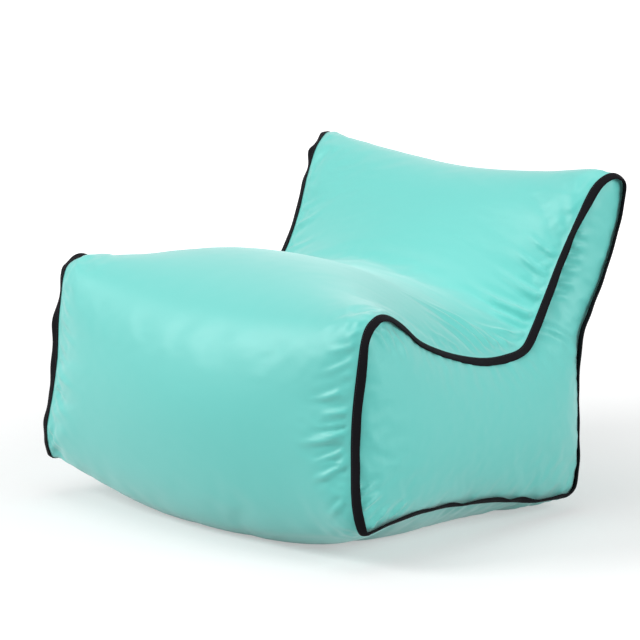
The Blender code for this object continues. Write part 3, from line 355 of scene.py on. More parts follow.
@dataclass(frozen=True)
class SeatForm:
    """The cover's form: the part's stations and sizes, and how the filled cloth departs from them."""

    depth: float = 0.500
    height: float = 0.420
    spread: float = 0.500
    side_bulge: float = 0.034
    side_power: float = 0.62
    centring: float = 0.232875
    shoulder_reach: float = 60 * MM
    shoulder_rise: float = 12 * MM

    def controls(self) -> np.ndarray:
        """Seam y and z, half spread, and middle y and z of each named station."""
        shares = np.array([row[1:] for row in STATION_SHARES])
        sizes = (self.depth, self.height, self.spread / 2, self.depth, self.height)
        return shares * sizes - (self.centring, 0, 0, self.centring, 0)

    def stations(self, u: np.ndarray) -> np.ndarray:
        """The same five values at any stations, on a Catmull-Rom curve through the named ones."""
        rows = self.controls()
        first = np.floor(u).astype(int)
        t = (u - first)[:, None]
        before, start, end, after = (rows[(first + k) % len(rows)] for k in (-1, 0, 1, 2))
        return 0.5 * (
            2 * start
            + (end - before) * t
            + (2 * before - 5 * start + 4 * end - after) * t**2
            + (3 * start - before - 3 * end + after) * t**3
        )

    def strip(self, u: np.ndarray, shares: np.ndarray) -> np.ndarray:
        """The strip's outer face at stations u and at shares of the half spread, as a grid of points.

        Args:
            u: The stations, one for each row.
            shares: From -1 at the left seam to 1 at the right one.

        Returns:
            The points, row by row.
        """
        rows = self.stations(u)
        seam, half, middle = rows[:, 0:2], rows[:, 2], rows[:, 3:5]
        crown = middle - seam
        rise = np.linalg.norm(crown, axis=1)
        radius = (half**2 + rise**2) / (2 * rise)
        x = half[:, None] * shares[None, :]
        drop = radius[:, None] - np.sqrt(radius[:, None] ** 2 - x**2)
        power = by_station(ARC_POWERS, 1, u)[:, None]
        arc = 1 - np.clip(drop / rise[:, None], 0, 1) ** power
        from_seam = (1 - np.abs(shares))[None, :] * half[:, None]
        swell = np.exp(-from_seam / self.shoulder_reach) - np.exp(-from_seam / self.shoulder_rise)
        right, left = (by_station(SHOULDERS, k, u)[:, None] for k in (1, 2))
        swell *= np.where(shares[None, :] > 0, right, left) * MM
        ahead = self.stations(u + 0.3)[:, :2] - self.stations(u - 0.3)[:, :2]
        outward = unit(np.column_stack([-ahead[:, 1], ahead[:, 0]]))
        places = seam[:, None] + crown[:, None] * arc[..., None]
        places += outward[:, None] * swell[..., None]
        leftness = np.clip(-shares, 0, 1)[None, :] ** 2
        x = x + leftness * by_station(LEFT_SHIFTS, 1, u)[:, None] * MM
        places[..., 1] += leftness * by_station(LEFT_SHIFTS, 2, u)[:, None] * MM
        rightness = np.clip(shares, 0, 1)[None, :] ** 6
        places += outward[:, None] * (rightness * by_station(RIGHT_SHIFTS, 1, u)[:, None])[..., None] * MM
        return np.dstack([x, places])

    def station_at_height(self, height: float) -> float:
        """The station at the middle of the back of the seat at a height above the floor."""
        u = np.linspace(named("kink"), named("heel_rear"), 800)
        heights = self.stations(u)[:, 4]
        return float(np.interp(-height, -heights, u))


@dataclass(frozen=True)
class ClothPlan:
    """How the cover's cloth is divided into rows round the seat and columns across it.

    Rows run round the seat from the front of the base, and columns from the left seam to the right.
    """

    form: SeatForm
    row_spacing: float = 6.6 * MM
    slot_width: float = 9.2 * MM
    slot_half_length: float = 118 * MM
    middle_step: float = 11.8 * MM
    edge_step: float = 4.6 * MM

    def slot_stations(self) -> tuple[float, float]:
        """The zip gap's upper and lower edge."""
        upper = named("zip_line")
        height = self.form.controls()[upper, 4] - self.slot_width
        return float(upper), self.form.station_at_height(height)

    def rows(self) -> np.ndarray:
        """Station values, evenly spread between the strip's ends and the zip gap's edges."""
        dense = np.linspace(0, len(STATION_SHARES), 12000)
        places = self.form.stations(dense)
        seam_steps = np.linalg.norm(np.diff(places[:, 0:2], axis=0), axis=1)
        middle_steps = np.linalg.norm(np.diff(places[:, 3:5], axis=0), axis=1)
        travel = np.concatenate([[0], np.cumsum(np.maximum(seam_steps, middle_steps))])
        stops = [0.0, *self.slot_stations(), float(len(STATION_SHARES))]
        rows: list[float] = []
        for low, high in zip(stops, stops[1:]):
            start, end = np.interp([low, high], dense, travel)
            count = max(1, round((end - start) / self.row_spacing))
            rows += list(np.interp(np.linspace(start, end, count + 1)[:-1], travel, dense))
        return np.array(rows)

    def columns(self) -> np.ndarray:
        """Shares of the half spread, closer together near the seams, with one at the gap's end."""
        half = self.form.spread / 2
        inner = np.arange(0, self.slot_half_length - self.middle_step / 2, self.middle_step)
        room = half - self.slot_half_length
        count = math.ceil(2 * room / (self.middle_step + self.edge_step))
        steps = np.linspace(self.middle_step, self.edge_step, count)
        outer = self.slot_half_length + np.concatenate([[0], np.cumsum(steps * room / steps.sum())])
        right = np.concatenate([inner, outer]) / half
        return np.concatenate([-right[:0:-1], right])


@dataclass
class CoverCloth:
    """The inflated cover: one closed mesh of the strip and both side panels, simulated as cloth."""

    form: SeatForm
    plan: ClothPlan
    side_spacing: float = 7.6 * MM
    seam_spare: float = 0.22
    least_spare: float = 0.012
    most_spare: float = 0.050
    middle_spare: float = 0.20
    most_middle_spare: float = 0.012
    seam_reach: float = 55 * MM
    side_reach: float = 40 * MM
    zip_half_length: float = 128 * MM
    zip_grip: tuple[float, float] = (16 * MM, 34 * MM)
    valve_grip: tuple[float, float] = (26 * MM, 46 * MM)
    unevenness: float = 0.4 * MM
    pressure: float = 5.0
    mass: float = 0.02
    tension: float = 80
    compression: float = 20
    shear: float = 10
    bending: float = 0.15
    damping: float = 2
    quality: int = 7
    frames: int = 24
    form_share: float = 0.85
    form_rounds: int = 70
    middle_gain: float = 0.4
    seam_gain: float = 1.15
    side_gain: float = 0.55
    seed: int = 11

    def build(self) -> None:
        """Lays out the mesh, simulates it and keeps the settled points."""
        self.u = self.plan.rows()
        self.shares = self.plan.columns()
        self.strip = self.form.strip(self.u, self.shares)
        self.row_count, self.column_count = self.strip.shape[:2]
        self.side_points, self.side_faces = self.lay_side()
        self.start = self.all_points()
        self.faces = self.all_faces()
        log.info("cover cloth: %d points, %d faces", len(self.start), len(self.faces))
        points = self.keep_form(self.simulate())
        self.take(self.settle_on_floor(points))

    def lay_side(self) -> tuple[dict[Side, np.ndarray], list[tuple[int, int, int]]]:
        """Fills the right-hand seam's outline with even triangles and swells it, and the same on the left.

        Returns:
            The points inside the outline of each side, and triangles over the outline's points followed
            by those.
        """
        outline = self.strip[:, -1, 1:]
        low, high = outline.min(axis=0), outline.max(axis=0)
        step = self.side_spacing
        rise = step * math.sqrt(3) / 2
        inner = []
        for k, z in enumerate(np.arange(low[1], high[1], rise)):
            for y in np.arange(low[0] + (k % 2) * step / 2, high[0], step):
                inner.append((y, z))
        inner = np.array(inner)
        inner = inner[self.inside(outline, inner)]
        gaps = np.linalg.norm(inner[:, None] - outline[None], axis=2).min(axis=1)
        inner = inner[gaps > 0.7 * step]
        places = np.vstack([outline, inner])
        count = len(outline)
        edges = [(i, (i + 1) % count) for i in range(count)]
        found = delaunay_2d_cdt([Vector(p) for p in places], edges, [], 1, 1e-7)
        original = [group[0] for group in found[3]]
        faces = [tuple(original[i] for i in face) for face in found[2]]
        faces = [f if self.turns_left(places, f) else f[::-1] for f in faces]
        found = self.swell(places, faces, count)
        shift = places[:count] - self.strip[:, 0, 1:]
        moved = inner - self.carry_inwards(places, faces, count, shift)
        right = np.column_stack([found[:, 0], inner])
        left = np.column_stack([-found[:, 1], moved])
        return {Side.RIGHT: right, Side.LEFT: left}, faces

    @staticmethod
    def inside(outline: np.ndarray, points: np.ndarray) -> np.ndarray:
        """Which points lie inside a closed outline."""
        result = np.zeros(len(points), dtype=bool)
        for a, b in zip(outline, np.roll(outline, -1, axis=0)):
            if a[1] == b[1]:
                continue
            crosses = (a[1] > points[:, 1]) != (b[1] > points[:, 1])
            at = a[0] + (points[:, 1] - a[1]) / (b[1] - a[1]) * (b[0] - a[0])
            result ^= crosses & (points[:, 0] < at)
        return result

    @staticmethod
    def turns_left(places: np.ndarray, face: Sequence[int]) -> bool:
        """Whether a triangle's corners run anticlockwise."""
        a, b, c = (places[i] for i in face)
        return bool((b[0] - a[0]) * (c[1] - a[1]) > (b[1] - a[1]) * (c[0] - a[0]))

    def swell(self, places: np.ndarray, faces: list[tuple[int, int, int]], count: int) -> np.ndarray:
        """Distance from the middle of the points inside each seam: the seam's spread and the swelling.

        Args:
            places: y and z of the outline's points, followed by those inside it.
            faces: Triangles over them.
            count: How many points the outline has.

        Returns:
            For each inner point its distance on the right and on the left.
        """
        spreads = np.abs(self.strip[:, [-1, 0], 0])
        level = self.carry_inwards(places, faces, count, spreads)
        dome = self.carry_inwards(places, faces, count, np.zeros((count, 1)), 1.0)
        return level + self.form.side_bulge * (dome / dome.max()) ** self.form.side_power

    @staticmethod
    def carry_inwards(
        places: np.ndarray, faces: list, count: int, values: np.ndarray, load: float = 0.0
    ) -> np.ndarray:
        """Values inside an outline, each the mean of its neighbours' plus a load.

        Args:
            places: All points, the outline's first.
            faces: Triangles of their numbers.
            count: How many points the outline has.
            values: The outline's values.
            load: What each inner point adds.

        Returns:
            A value for every point.
        """
        inner = len(places) - count
        matrix = np.zeros((inner, inner))
        total = np.full((inner, values.shape[1]), load)
        links = {tuple(sorted((f[i], f[i - 1]))) for f in faces for i in range(3)}
        for a, b in links:
            for one, other in ((a, b), (b, a)):
                if one < count:
                    continue
                matrix[one - count, one - count] += 1
                if other < count:
                    total[one - count] += values[other]
                else:
                    matrix[one - count, other - count] -= 1
        return np.linalg.solve(matrix, total)

    def all_points(self) -> np.ndarray:
        """Every point: the strip row by row, then the inside of the right and of the left panel."""
        sides = [self.side_points[side] for side in (Side.RIGHT, Side.LEFT)]
        return np.vstack([self.strip.reshape(-1, 3), *sides])

    def side_index(self, side: Side) -> np.ndarray:
        """Numbers of a side panel's points in the whole mesh: its outline, then its inside."""
        column = self.column_count - 1 if side is Side.RIGHT else 0
        outline = np.arange(self.row_count) * self.column_count + column
        first = self.row_count * self.column_count
        inner = len(self.side_points[side])
        if side is Side.LEFT:
            first += inner
        return np.concatenate([outline, first + np.arange(inner)])

    def all_faces(self) -> list[tuple[int, ...]]:
        """The faces of the whole closed mesh."""
        faces = grid_faces(self.row_count, self.column_count, closed=True)
        for side in Side:
            index = self.side_index(side)
            for face in self.side_faces:
                ordered = face if side is Side.RIGHT else face[::-1]
                faces.append(tuple(int(index[i]) for i in ordered))
        return faces

    def spare_cloth(self) -> np.ndarray:
        """How much longer than the start each point's cloth is cut, as a share."""
        seam = self.strip[:, -1]
        middle = self.strip[:, self.column_count // 2]
        seam_step = np.linalg.norm(np.roll(seam, -1, axis=0) - np.roll(seam, 1, axis=0), axis=1)
        middle_step = np.linalg.norm(np.roll(middle, -1, axis=0) - np.roll(middle, 1, axis=0), axis=1)
        ratio = middle_step / seam_step
        kernel = np.ones(9) / 9
        wrapped = np.concatenate([ratio[-4:], ratio, ratio[:4]])
        ratio = np.convolve(wrapped, kernel, "valid")
        at_seam = np.clip(self.seam_spare * (ratio - 1), self.least_spare, self.most_spare)
        at_middle = np.clip(self.middle_spare * (1 / ratio - 1), 0, self.most_middle_spare)
        spare = np.zeros(len(self.start))
        half = self.form.spread / 2
        from_seam = (1 - np.abs(self.shares)) * half
        near = np.exp(-((from_seam / self.seam_reach) ** 2))
        grid = at_seam[:, None] * near[None] + at_middle[:, None] * (1 - near[None])
        spare[: grid.size] = grid.ravel()
        outline = self.strip[:, -1, 1:]
        for side in Side:
            index = self.side_index(side)
            inner = index[self.row_count :]
            gaps = np.linalg.norm(self.start[inner][:, None, 1:] - outline[None], axis=2)
            nearest = gaps.argmin(axis=1)
            reach = np.exp(-((gaps.min(axis=1) / self.side_reach) ** 2))
            spare[inner] = at_seam[nearest] * reach
        return spare

    def hold(self) -> np.ndarray:
        """How firmly each point is held: the seams by their tape, the cloth round the zip and valve."""
        held = np.zeros(len(self.start))
        upper, lower = self.plan.slot_stations()
        strip = self.strip
        rear = (self.u[:, None] > named("kink_over")) & (self.u[:, None] < named("heel"))
        zip_z = strip[:, :, 2] - (self.form.stations(np.array([(upper + lower) / 2]))[0, 4])
        past_end = np.maximum(np.abs(strip[:, :, 0]) - self.zip_half_length, 0)
        from_zip = np.hypot(zip_z, past_end)
        from_valve = np.hypot(strip[:, :, 2] - self.valve_height(), strip[:, :, 0])
        grid = np.where(rear, 1 - smooth_step(*self.zip_grip, from_zip), 0)
        grid = np.maximum(grid, np.where(rear, 1 - smooth_step(*self.valve_grip, from_valve), 0))
        grid[:, 0] = grid[:, -1] = 1
        held[: grid.size] = grid.ravel()
        return held

    def valve_height(self) -> float:
        """The valve axis's height above the floor."""
        return float(self.form.controls()[named("valve_line"), 4])

    def simulate(self) -> np.ndarray:
        """Runs the cloth from the stated form, under pressure, and returns the settled points."""
        mesh = bpy.data.meshes.new("cover_cloth")
        held = self.hold()
        shaken = self.shake(mesh, held)
        cover = bpy.data.objects.new("cover_cloth", mesh)
        bpy.context.scene.collection.objects.link(cover)
        for name, weights in (("held", held), ("cut_short", 1 - self.spare_cloth() / self.most_spare)):
            group = cover.vertex_groups.new(name=name)
            for i in np.flatnonzero(weights > 0):
                group.add([int(i)], float(min(weights[i], 1)), "REPLACE")
        self.set_cloth(cover.modifiers.new("cloth", "CLOTH"))
        settled = self.run_frames(cover, shaken)
        bpy.data.objects.remove(cover, do_unlink=True)
        bpy.data.meshes.remove(mesh)
        bpy.context.scene.frame_set(1)
        return settled

    def shake(self, mesh: bpy.types.Mesh, held: np.ndarray) -> np.ndarray:
        """Fills a mesh with the starting cloth, moved a little in and out wherever it isn't held.

        Args:
            mesh: The empty mesh.
            held: How firmly each point is held.

        Returns:
            The mesh's points.
        """
        noise = np.random.default_rng(self.seed).normal(size=len(self.start)) * self.unevenness
        mesh.from_pydata(self.start.tolist(), [], self.faces)
        mesh.update()
        normals = np.zeros(len(self.start) * 3)
        mesh.vertex_normals.foreach_get("vector", normals)
        shaken = self.start + normals.reshape(-1, 3) * (noise * (1 - held))[:, None]
        mesh.vertices.foreach_set("co", shaken.ravel())
        return shaken

    def set_cloth(self, cloth: bpy.types.ClothModifier) -> None:
        """Gives the simulation the cloth's stiffness, its held points, its cut and the air's pressure."""
        settings = cloth.settings
        settings.quality = self.quality
        settings.mass = self.mass
        settings.air_damping = 1.0
        settings.tension_stiffness = self.tension
        settings.compression_stiffness = self.compression
        settings.shear_stiffness = self.shear
        settings.bending_stiffness = self.bending
        settings.tension_damping = settings.compression_damping = self.damping
        settings.shear_damping = self.damping
        settings.bending_damping = 0.5
        settings.vertex_group_mass = "held"
        settings.pin_stiffness = 1
        settings.vertex_group_shrink = "cut_short"
        settings.shrink_min = -self.most_spare
        settings.shrink_max = 0.0
        settings.use_pressure = True
        settings.uniform_pressure_force = self.pressure
        settings.effector_weights.gravity = 0
        cloth.collision_settings.use_collision = False
        cloth.point_cache.frame_start = 1
        cloth.point_cache.frame_end = self.frames

    def run_frames(self, cover: bpy.types.Object, before: np.ndarray) -> np.ndarray:
        """Steps through the simulation and reports how it settles.

        Args:
            cover: The simulated cloth.
            before: Its points before the first frame.

        Returns:
            Its points at the last frame.
        """
        scene = bpy.context.scene
        for number in range(1, self.frames + 1):
            scene.frame_set(number)
            settled = self.read_points(cover)
            if number % 6 == 0:
                step = np.linalg.norm(settled - before, axis=1).max() / MM
                moved = np.linalg.norm(settled - self.start, axis=1) / MM
                log.info("cover cloth frame %d: step %.2f mm", number, step)
                log.info("moved from its start: mean %.2f mm, most %.2f mm", moved.mean(), moved.max())
            before = settled
        return settled

    def keep_form(self, points: np.ndarray) -> np.ndarray:
        """Takes back most of the broad swelling and strengthens the folds, so the stated form stays."""
        pairs = {tuple(sorted((f[i], f[i - 1]))) for f in self.faces for i in range(len(f))}
        links = np.array(sorted(pairs))
        count = np.bincount(links.ravel(), minlength=len(points))[:, None]
        broad = points - self.start
        for _ in range(self.form_rounds):
            total = np.zeros_like(broad)
            np.add.at(total, links[:, 0], broad[links[:, 1]])
            np.add.at(total, links[:, 1], broad[links[:, 0]])
            broad = (broad + total / count) / 2
        folds = points - self.start - broad
        gain = np.full(len(points), self.side_gain)
        from_seam = (1 - np.abs(self.shares)) * self.form.spread / 2
        near = np.exp(-((from_seam / self.seam_reach) ** 2))
        rows = self.middle_gain + (self.seam_gain - self.middle_gain) * near
        gain[: self.strip.size // 3] = np.tile(rows, self.row_count)
        return self.start + broad * (1 - self.form_share) + folds * gain[:, None]

    @staticmethod
    def read_points(cover: bpy.types.Object) -> np.ndarray:
        """The simulated points at the scene's frame."""
        evaluated = cover.evaluated_get(bpy.context.evaluated_depsgraph_get())
        found = np.zeros(len(cover.data.vertices) * 3)
        evaluated.data.vertices.foreach_get("co", found)
        return found.reshape(-1, 3)

    @staticmethod
    def settle_on_floor(points: np.ndarray, ease: float = 3 * MM) -> np.ndarray:
        """Flattens what would pass the floor, with a soft edge to the flat."""
        settled = points.copy()
        z = points[:, 2]
        settled[:, 2] = (z + np.sqrt(z * z + ease * ease)) / 2
        return settled

    def take(self, points: np.ndarray) -> None:
        """Keeps the settled points as the strip's grid and the side panels' points."""
        self.points = points
        size = self.row_count * self.column_count
        self.settled_strip = points[:size].reshape(self.row_count, self.column_count, 3)

    def seam(self, side: Side) -> np.ndarray:
        """The settled seam, as a closed run of points."""
        return self.settled_strip[:, -1 if side is Side.RIGHT else 0]


def add_node(
    tree: bpy.types.NodeTree, kind: str, inputs: dict | None = None, **settings
) -> bpy.types.Node:
    """Adds a node.

    Args:
        tree: The node tree that it joins.
        kind: Its type's name in Blender.
        inputs: Values for its inputs by name or number, or the output sockets linked to them.
        settings: Its own settings.

    Returns:
        The new node.
    """
    node = tree.nodes.new(kind)
    for name, value in settings.items():
        setattr(node, name, value)
    for key, value in (inputs or {}).items():
        if isinstance(value, bpy.types.NodeSocket):
            tree.links.new(value, node.inputs[key])
        else:
            node.inputs[key].default_value = value
    return node


def seen_share(tree: bpy.types.NodeTree) -> bpy.types.NodeSocket:
    """1 for rays of the camera, also mirrored or passed through, and 0 for those that light a piece."""
    path = add_node(tree, "ShaderNodeLightPath").outputs
    seen = path["Is Camera Ray"]
    for name in ("Is Glossy Ray", "Is Transmission Ray"):
        either = add_node(tree, "ShaderNodeMath", {0: seen, 1: path[name]}, operation="MAXIMUM")
        seen = either.outputs[0]
    return seen


def mottle(
    tree: bpy.types.NodeTree,
    place: bpy.types.NodeSocket,
    scale: float,
    detail: float,
    roughness: float = 0.5,
) -> bpy.types.NodeSocket:
    """Uneven light and dark over a surface.

    Args:
        tree: The material's nodes.
        place: Where on the surface it is read.
        scale: How fine it is, as patches to a metre.
        detail: How many finer layers lie over it.
        roughness: How strong those are.

    Returns:
        Its value, from 0 to 1.
    """
    inputs = {"Vector": place, "Scale": scale, "Detail": detail, "Roughness": roughness}
    return add_node(tree, "ShaderNodeTexNoise", inputs).outputs["Fac"]


def bands(
    tree: bpy.types.NodeTree, flat: bpy.types.NodeSocket, spacing: float, axis: str
) -> bpy.types.NodeSocket:
    """Even bands across a cloth.

    Args:
        tree: The material's nodes.
        flat: Places on the flat cloth.
        spacing: From one band to the next.
        axis: The axis that they follow each other along.

    Returns:
        Their height, from 0 to 1.
    """
    inputs = {"Vector": flat, "Scale": 1 / spacing / WAVE_BANDS, "Distortion": 0.0}
    return add_node(tree, "ShaderNodeTexWave", inputs, bands_direction=axis).outputs["Fac"]


def between(
    tree: bpy.types.NodeTree, share: bpy.types.NodeSocket, low: str, high: str
) -> bpy.types.NodeSocket:
    """A colour between two.

    Args:
        tree: The material's nodes.
        share: How much of the second it has.
        low: The first colour's sRGB hex.
        high: The second's.

    Returns:
        The mixed colour.
    """
    inputs = {0: share, 6: colour(low), 7: colour(high)}
    return add_node(tree, "ShaderNodeMix", inputs, data_type="RGBA").outputs[2]


def relief(
    tree: bpy.types.NodeTree,
    height: bpy.types.NodeSocket,
    strength: float,
    depth: float,
    under: bpy.types.NodeSocket | None = None,
) -> bpy.types.NodeSocket:
    """Fine relief on a surface.

    Args:
        tree: The material's nodes.
        height: The relief's height, from 0 to 1.
        strength: How much of it shows.
        depth: Its depth.
        under: Coarser relief that it lies on.

    Returns:
        The surface's normal.
    """
    inputs = {"Strength": strength, "Distance": depth, "Height": height}
    if under:
        inputs["Normal"] = under
    return add_node(tree, "ShaderNodeBump", inputs).outputs["Normal"]


def make_mesh(
    name: str, points: np.ndarray, faces: Sequence[Sequence[int]], uv: np.ndarray | None = None
) -> bpy.types.Object:
    """A smooth-shaded object from points and faces, with a place on the cloth for each point if given.

    Args:
        name: The object's name.
        points: Its points.
        faces: The points' numbers, face by face.
        uv: Each point's place on the flat cloth.

    Returns:
        The object.
    """
    mesh = bpy.data.meshes.new(name)
    mesh.from_pydata(np.asarray(points).tolist(), [], [tuple(int(i) for i in f) for f in faces])
    if uv is not None:
        layer = mesh.uv_layers.new(name="cloth")
        corners = np.zeros(len(mesh.loops), dtype=int)
        mesh.loops.foreach_get("vertex_index", corners)
        layer.uv.foreach_set("vector", uv[corners].ravel())
    mesh.update()
    mesh.shade_smooth()
    made = bpy.data.objects.new(name, mesh)
    bpy.context.scene.collection.objects.link(made)
    return made


def apply_modifiers(piece: bpy.types.Object) -> None:
    """Turns a piece with modifiers into the plain mesh that they give."""
    evaluated = piece.evaluated_get(bpy.context.evaluated_depsgraph_get())
    old = piece.data
    name = old.name
    piece.data = bpy.data.meshes.new_from_object(evaluated)
    piece.modifiers.clear()
    bpy.data.meshes.remove(old)
    piece.data.name = name


def subdivide(piece: bpy.types.Object, levels: int = 1) -> None:
    """Rounds a piece by subdivision."""
    modifier = piece.modifiers.new("round", "SUBSURF")
    modifier.levels = modifier.render_levels = levels


def thicken(piece: bpy.types.Object, thickness: float) -> None:
    """Gives a sheet its thickness, inwards from the face it has."""
    modifier = piece.modifiers.new("thickness", "SOLIDIFY")
    modifier.thickness = thickness
    modifier.offset = -1


def cut_round_hole(piece: bpy.types.Object, centre: Vector, radius: float, reach: float) -> None:
    """Cuts a hole along Y through a piece.

    Args:
        piece: The piece, a closed mesh.
        centre: The middle of the hole.
        radius: The hole's radius.
        reach: How far it goes to both sides of its middle.
    """
    form = bmesh.new()
    bmesh.ops.create_cone(
        form, cap_ends=True, segments=72, radius1=radius, radius2=radius, depth=2 * reach
    )
    turn = Matrix.Rotation(math.pi / 2, 4, "X")
    bmesh.ops.transform(form, matrix=Matrix.Translation(centre) @ turn, verts=form.verts)
    mesh = bpy.data.meshes.new("hole")
    form.to_mesh(mesh)
    form.free()
    tool = bpy.data.objects.new("hole", mesh)
    bpy.context.scene.collection.objects.link(tool)
    cut = piece.modifiers.new("hole", "BOOLEAN")
    cut.operation = "DIFFERENCE"
    cut.object = tool
    cut.solver = "EXACT"
    apply_modifiers(piece)
    bpy.data.objects.remove(tool, do_unlink=True)
    bpy.data.meshes.remove(mesh)


def grid_faces(rows: int, columns: int, closed: bool = False) -> list[tuple[int, ...]]:
    """Faces over a grid of points numbered row by row.

    Args:
        rows: How many rows it has.
        columns: How many points a row has.
        closed: Whether the last row meets the first.

    Returns:
        The faces, row by row.
    """
    faces: list[tuple[int, ...]] = []
    for r in range(rows if closed else rows - 1):
        a, b = r * columns, (r + 1) % rows * columns
        faces += [(a + c, a + c + 1, b + c + 1, b + c) for c in range(columns - 1)]
    return faces


def tube_faces(rings: int, around: int, closed: bool = False) -> list[tuple[int, ...]]:
    """Faces of a tube over rings of points that are numbered one after another.

    Args:
        rings: How many rings it has.
        around: How many points a ring has.
        closed: Whether the last ring meets the first; otherwise both ends are capped.

    Returns:
        The faces, all facing the same way.
    """
    faces: list[tuple[int, ...]] = []
    for r in range(rings if closed else rings - 1):
        a, b = r * around, (r + 1) % rings * around
        faces += [(a + c, a + (c + 1) % around, b + (c + 1) % around, b + c) for c in range(around)]
    if not closed:
        last = (rings - 1) * around
        faces += [tuple(range(around))[::-1], tuple(last + c for c in range(around))]
    return faces


def run_faces(runs: Sequence[np.ndarray], closed: bool = False) -> list[tuple[int, ...]]:
    """Faces between runs of numbered points.

    Args:
        runs: The points' numbers, equally many in each run.
        closed: Whether each run ends where it starts.

    Returns:
        The faces from each run to the next.
    """
    faces: list[tuple[int, ...]] = []
    for a, b in zip(runs, runs[1:]):
        for k in range(len(a) if closed else len(a) - 1):
            j = (k + 1) % len(a)
            faces.append((a[k], a[j], b[j], b[k]))
    return faces


def turned_over(faces: Sequence[tuple[int, ...]], turn: bool = True) -> list[tuple[int, ...]]:
    """The same faces facing the other way, if they are to be turned."""
    return [face[::-1] for face in faces] if turn else list(faces)


def dress(piece: bpy.types.Object, material: bpy.types.Material) -> None:
    """Puts one material on a piece."""
    piece.data.materials.clear()
    piece.data.materials.append(material)


@dataclass(frozen=True)
class Finish:
    """What every finish has: a name, a colour and how rough it is."""

    name: str
    hex: str
    roughness: float

    def start(self) -> tuple[bpy.types.Material, bpy.types.NodeTree, bpy.types.Node]:
        """A new material, its tree and its shader with the colour and roughness set."""
        material = bpy.data.materials.new(self.name)
        material.use_nodes = True
        tree = material.node_tree
        shader = tree.nodes["Principled BSDF"]
        self.set_values(shader, {"Base Color": colour(self.hex), "Roughness": self.roughness})
        return material, tree, shader

    @staticmethod
    def set_values(shader: bpy.types.Node, values: dict) -> None:
        """Sets constant inputs of a shader by name."""
        for name, value in values.items():
            shader.inputs[name].default_value = value


@dataclass(frozen=True)
class CoatedPolyester(Finish):
    """Plain-woven polyester taffeta with a thin coating.

    The coating gives a soft milky sheen where the light grazes it, and the thin cloth shows fine
    crinkles. Its threads lie 0.25 mm apart; they are drawn 1.2 mm apart so that they just show.
    """

    name: str = "coated_polyester_taffeta"
    hex: str = "#44CCC2"
    roughness: float = 0.46
    thread_spacing: float = 1.2 * MM
    crinkle: float = 16 * MM
    sheen: float = 0.62
    coat: float = 0.5
    sheen_tint: str = "#EAFBFA"
    dye_shades: tuple[str, str] = ("#41C9BF", "#48CFC5")

    def build(self) -> bpy.types.Material:
        """The cloth: its dye a little uneven, with soft crinkles and the weave's threads over them."""
        material, tree, shader = self.start()
        self.set_values(shader, {"Sheen Weight": self.sheen, "Sheen Roughness": 0.7})
        self.set_values(shader, {"Coat Weight": self.coat, "Coat Roughness": 0.5})
        self.set_values(shader, {"Sheen Tint": colour(self.sheen_tint), "Specular IOR Level": 0.5})
        place = add_node(tree, "ShaderNodeTexCoord").outputs["Object"]
        flat = add_node(tree, "ShaderNodeUVMap", uv_map="cloth").outputs["UV"]
        dye = between(tree, mottle(tree, place, 3.2, 3.0), *self.dye_shades)
        crinkles = relief(tree, mottle(tree, place, 1 / self.crinkle, 4.0, 0.55), 0.10, 1.2 * MM)
        warp, weft = (bands(tree, flat, self.thread_spacing, axis) for axis in ("X", "Y"))
        weave = add_node(tree, "ShaderNodeMath", {0: warp, 1: weft}, operation="MULTIPLY").outputs[0]
        tree.links.new(dye, shader.inputs["Base Color"])
        tree.links.new(relief(tree, weave, 0.05, 0.12 * MM, crinkles), shader.inputs["Normal"])
        return material


@dataclass(frozen=True)
class GrosgrainTape(Finish):
    """Ribbed polyester tape, woven and dyed: matt, with ribs across it and a faint dusty sheen."""

    name: str = "woven_grosgrain_tape"
    hex: str = "#0E0C10"
    roughness: float = 0.82
    rib_spacing: float = 1.1 * MM

    def build(self) -> bpy.types.Material:
        """Builds the material; the ribs follow the tape's own length."""
        material, tree, shader = self.start()
        self.set_values(shader, {"Specular IOR Level": 0.12})
        flat = add_node(tree, "ShaderNodeUVMap", uv_map="cloth").outputs["UV"]
        tone = between(tree, mottle(tree, flat, 900.0, 2.0), "#09080B", "#131116")
        ribs = relief(tree, bands(tree, flat, self.rib_spacing, "Y"), 0.5, 0.2 * MM)
        tree.links.new(tone, shader.inputs["Base Color"])
        tree.links.new(ribs, shader.inputs["Normal"])
        return material


@dataclass(frozen=True)
class SpunThread(Finish):
    """Spun polyester sewing thread, dyed dark: slightly glossier than the tape it sits in."""

    name: str = "spun_polyester_thread"
    hex: str = "#211E27"
    roughness: float = 0.55

    def build(self) -> bpy.types.Material:
        """The thread, rough with the fine uneven relief of its twist."""
        material, tree, shader = self.start()
        place = add_node(tree, "ShaderNodeTexCoord").outputs["Object"]
        twist = relief(tree, mottle(tree, place, 2500.0, 1.0), 0.3, 0.1 * MM)
        tree.links.new(twist, shader.inputs["Normal"])
        return material


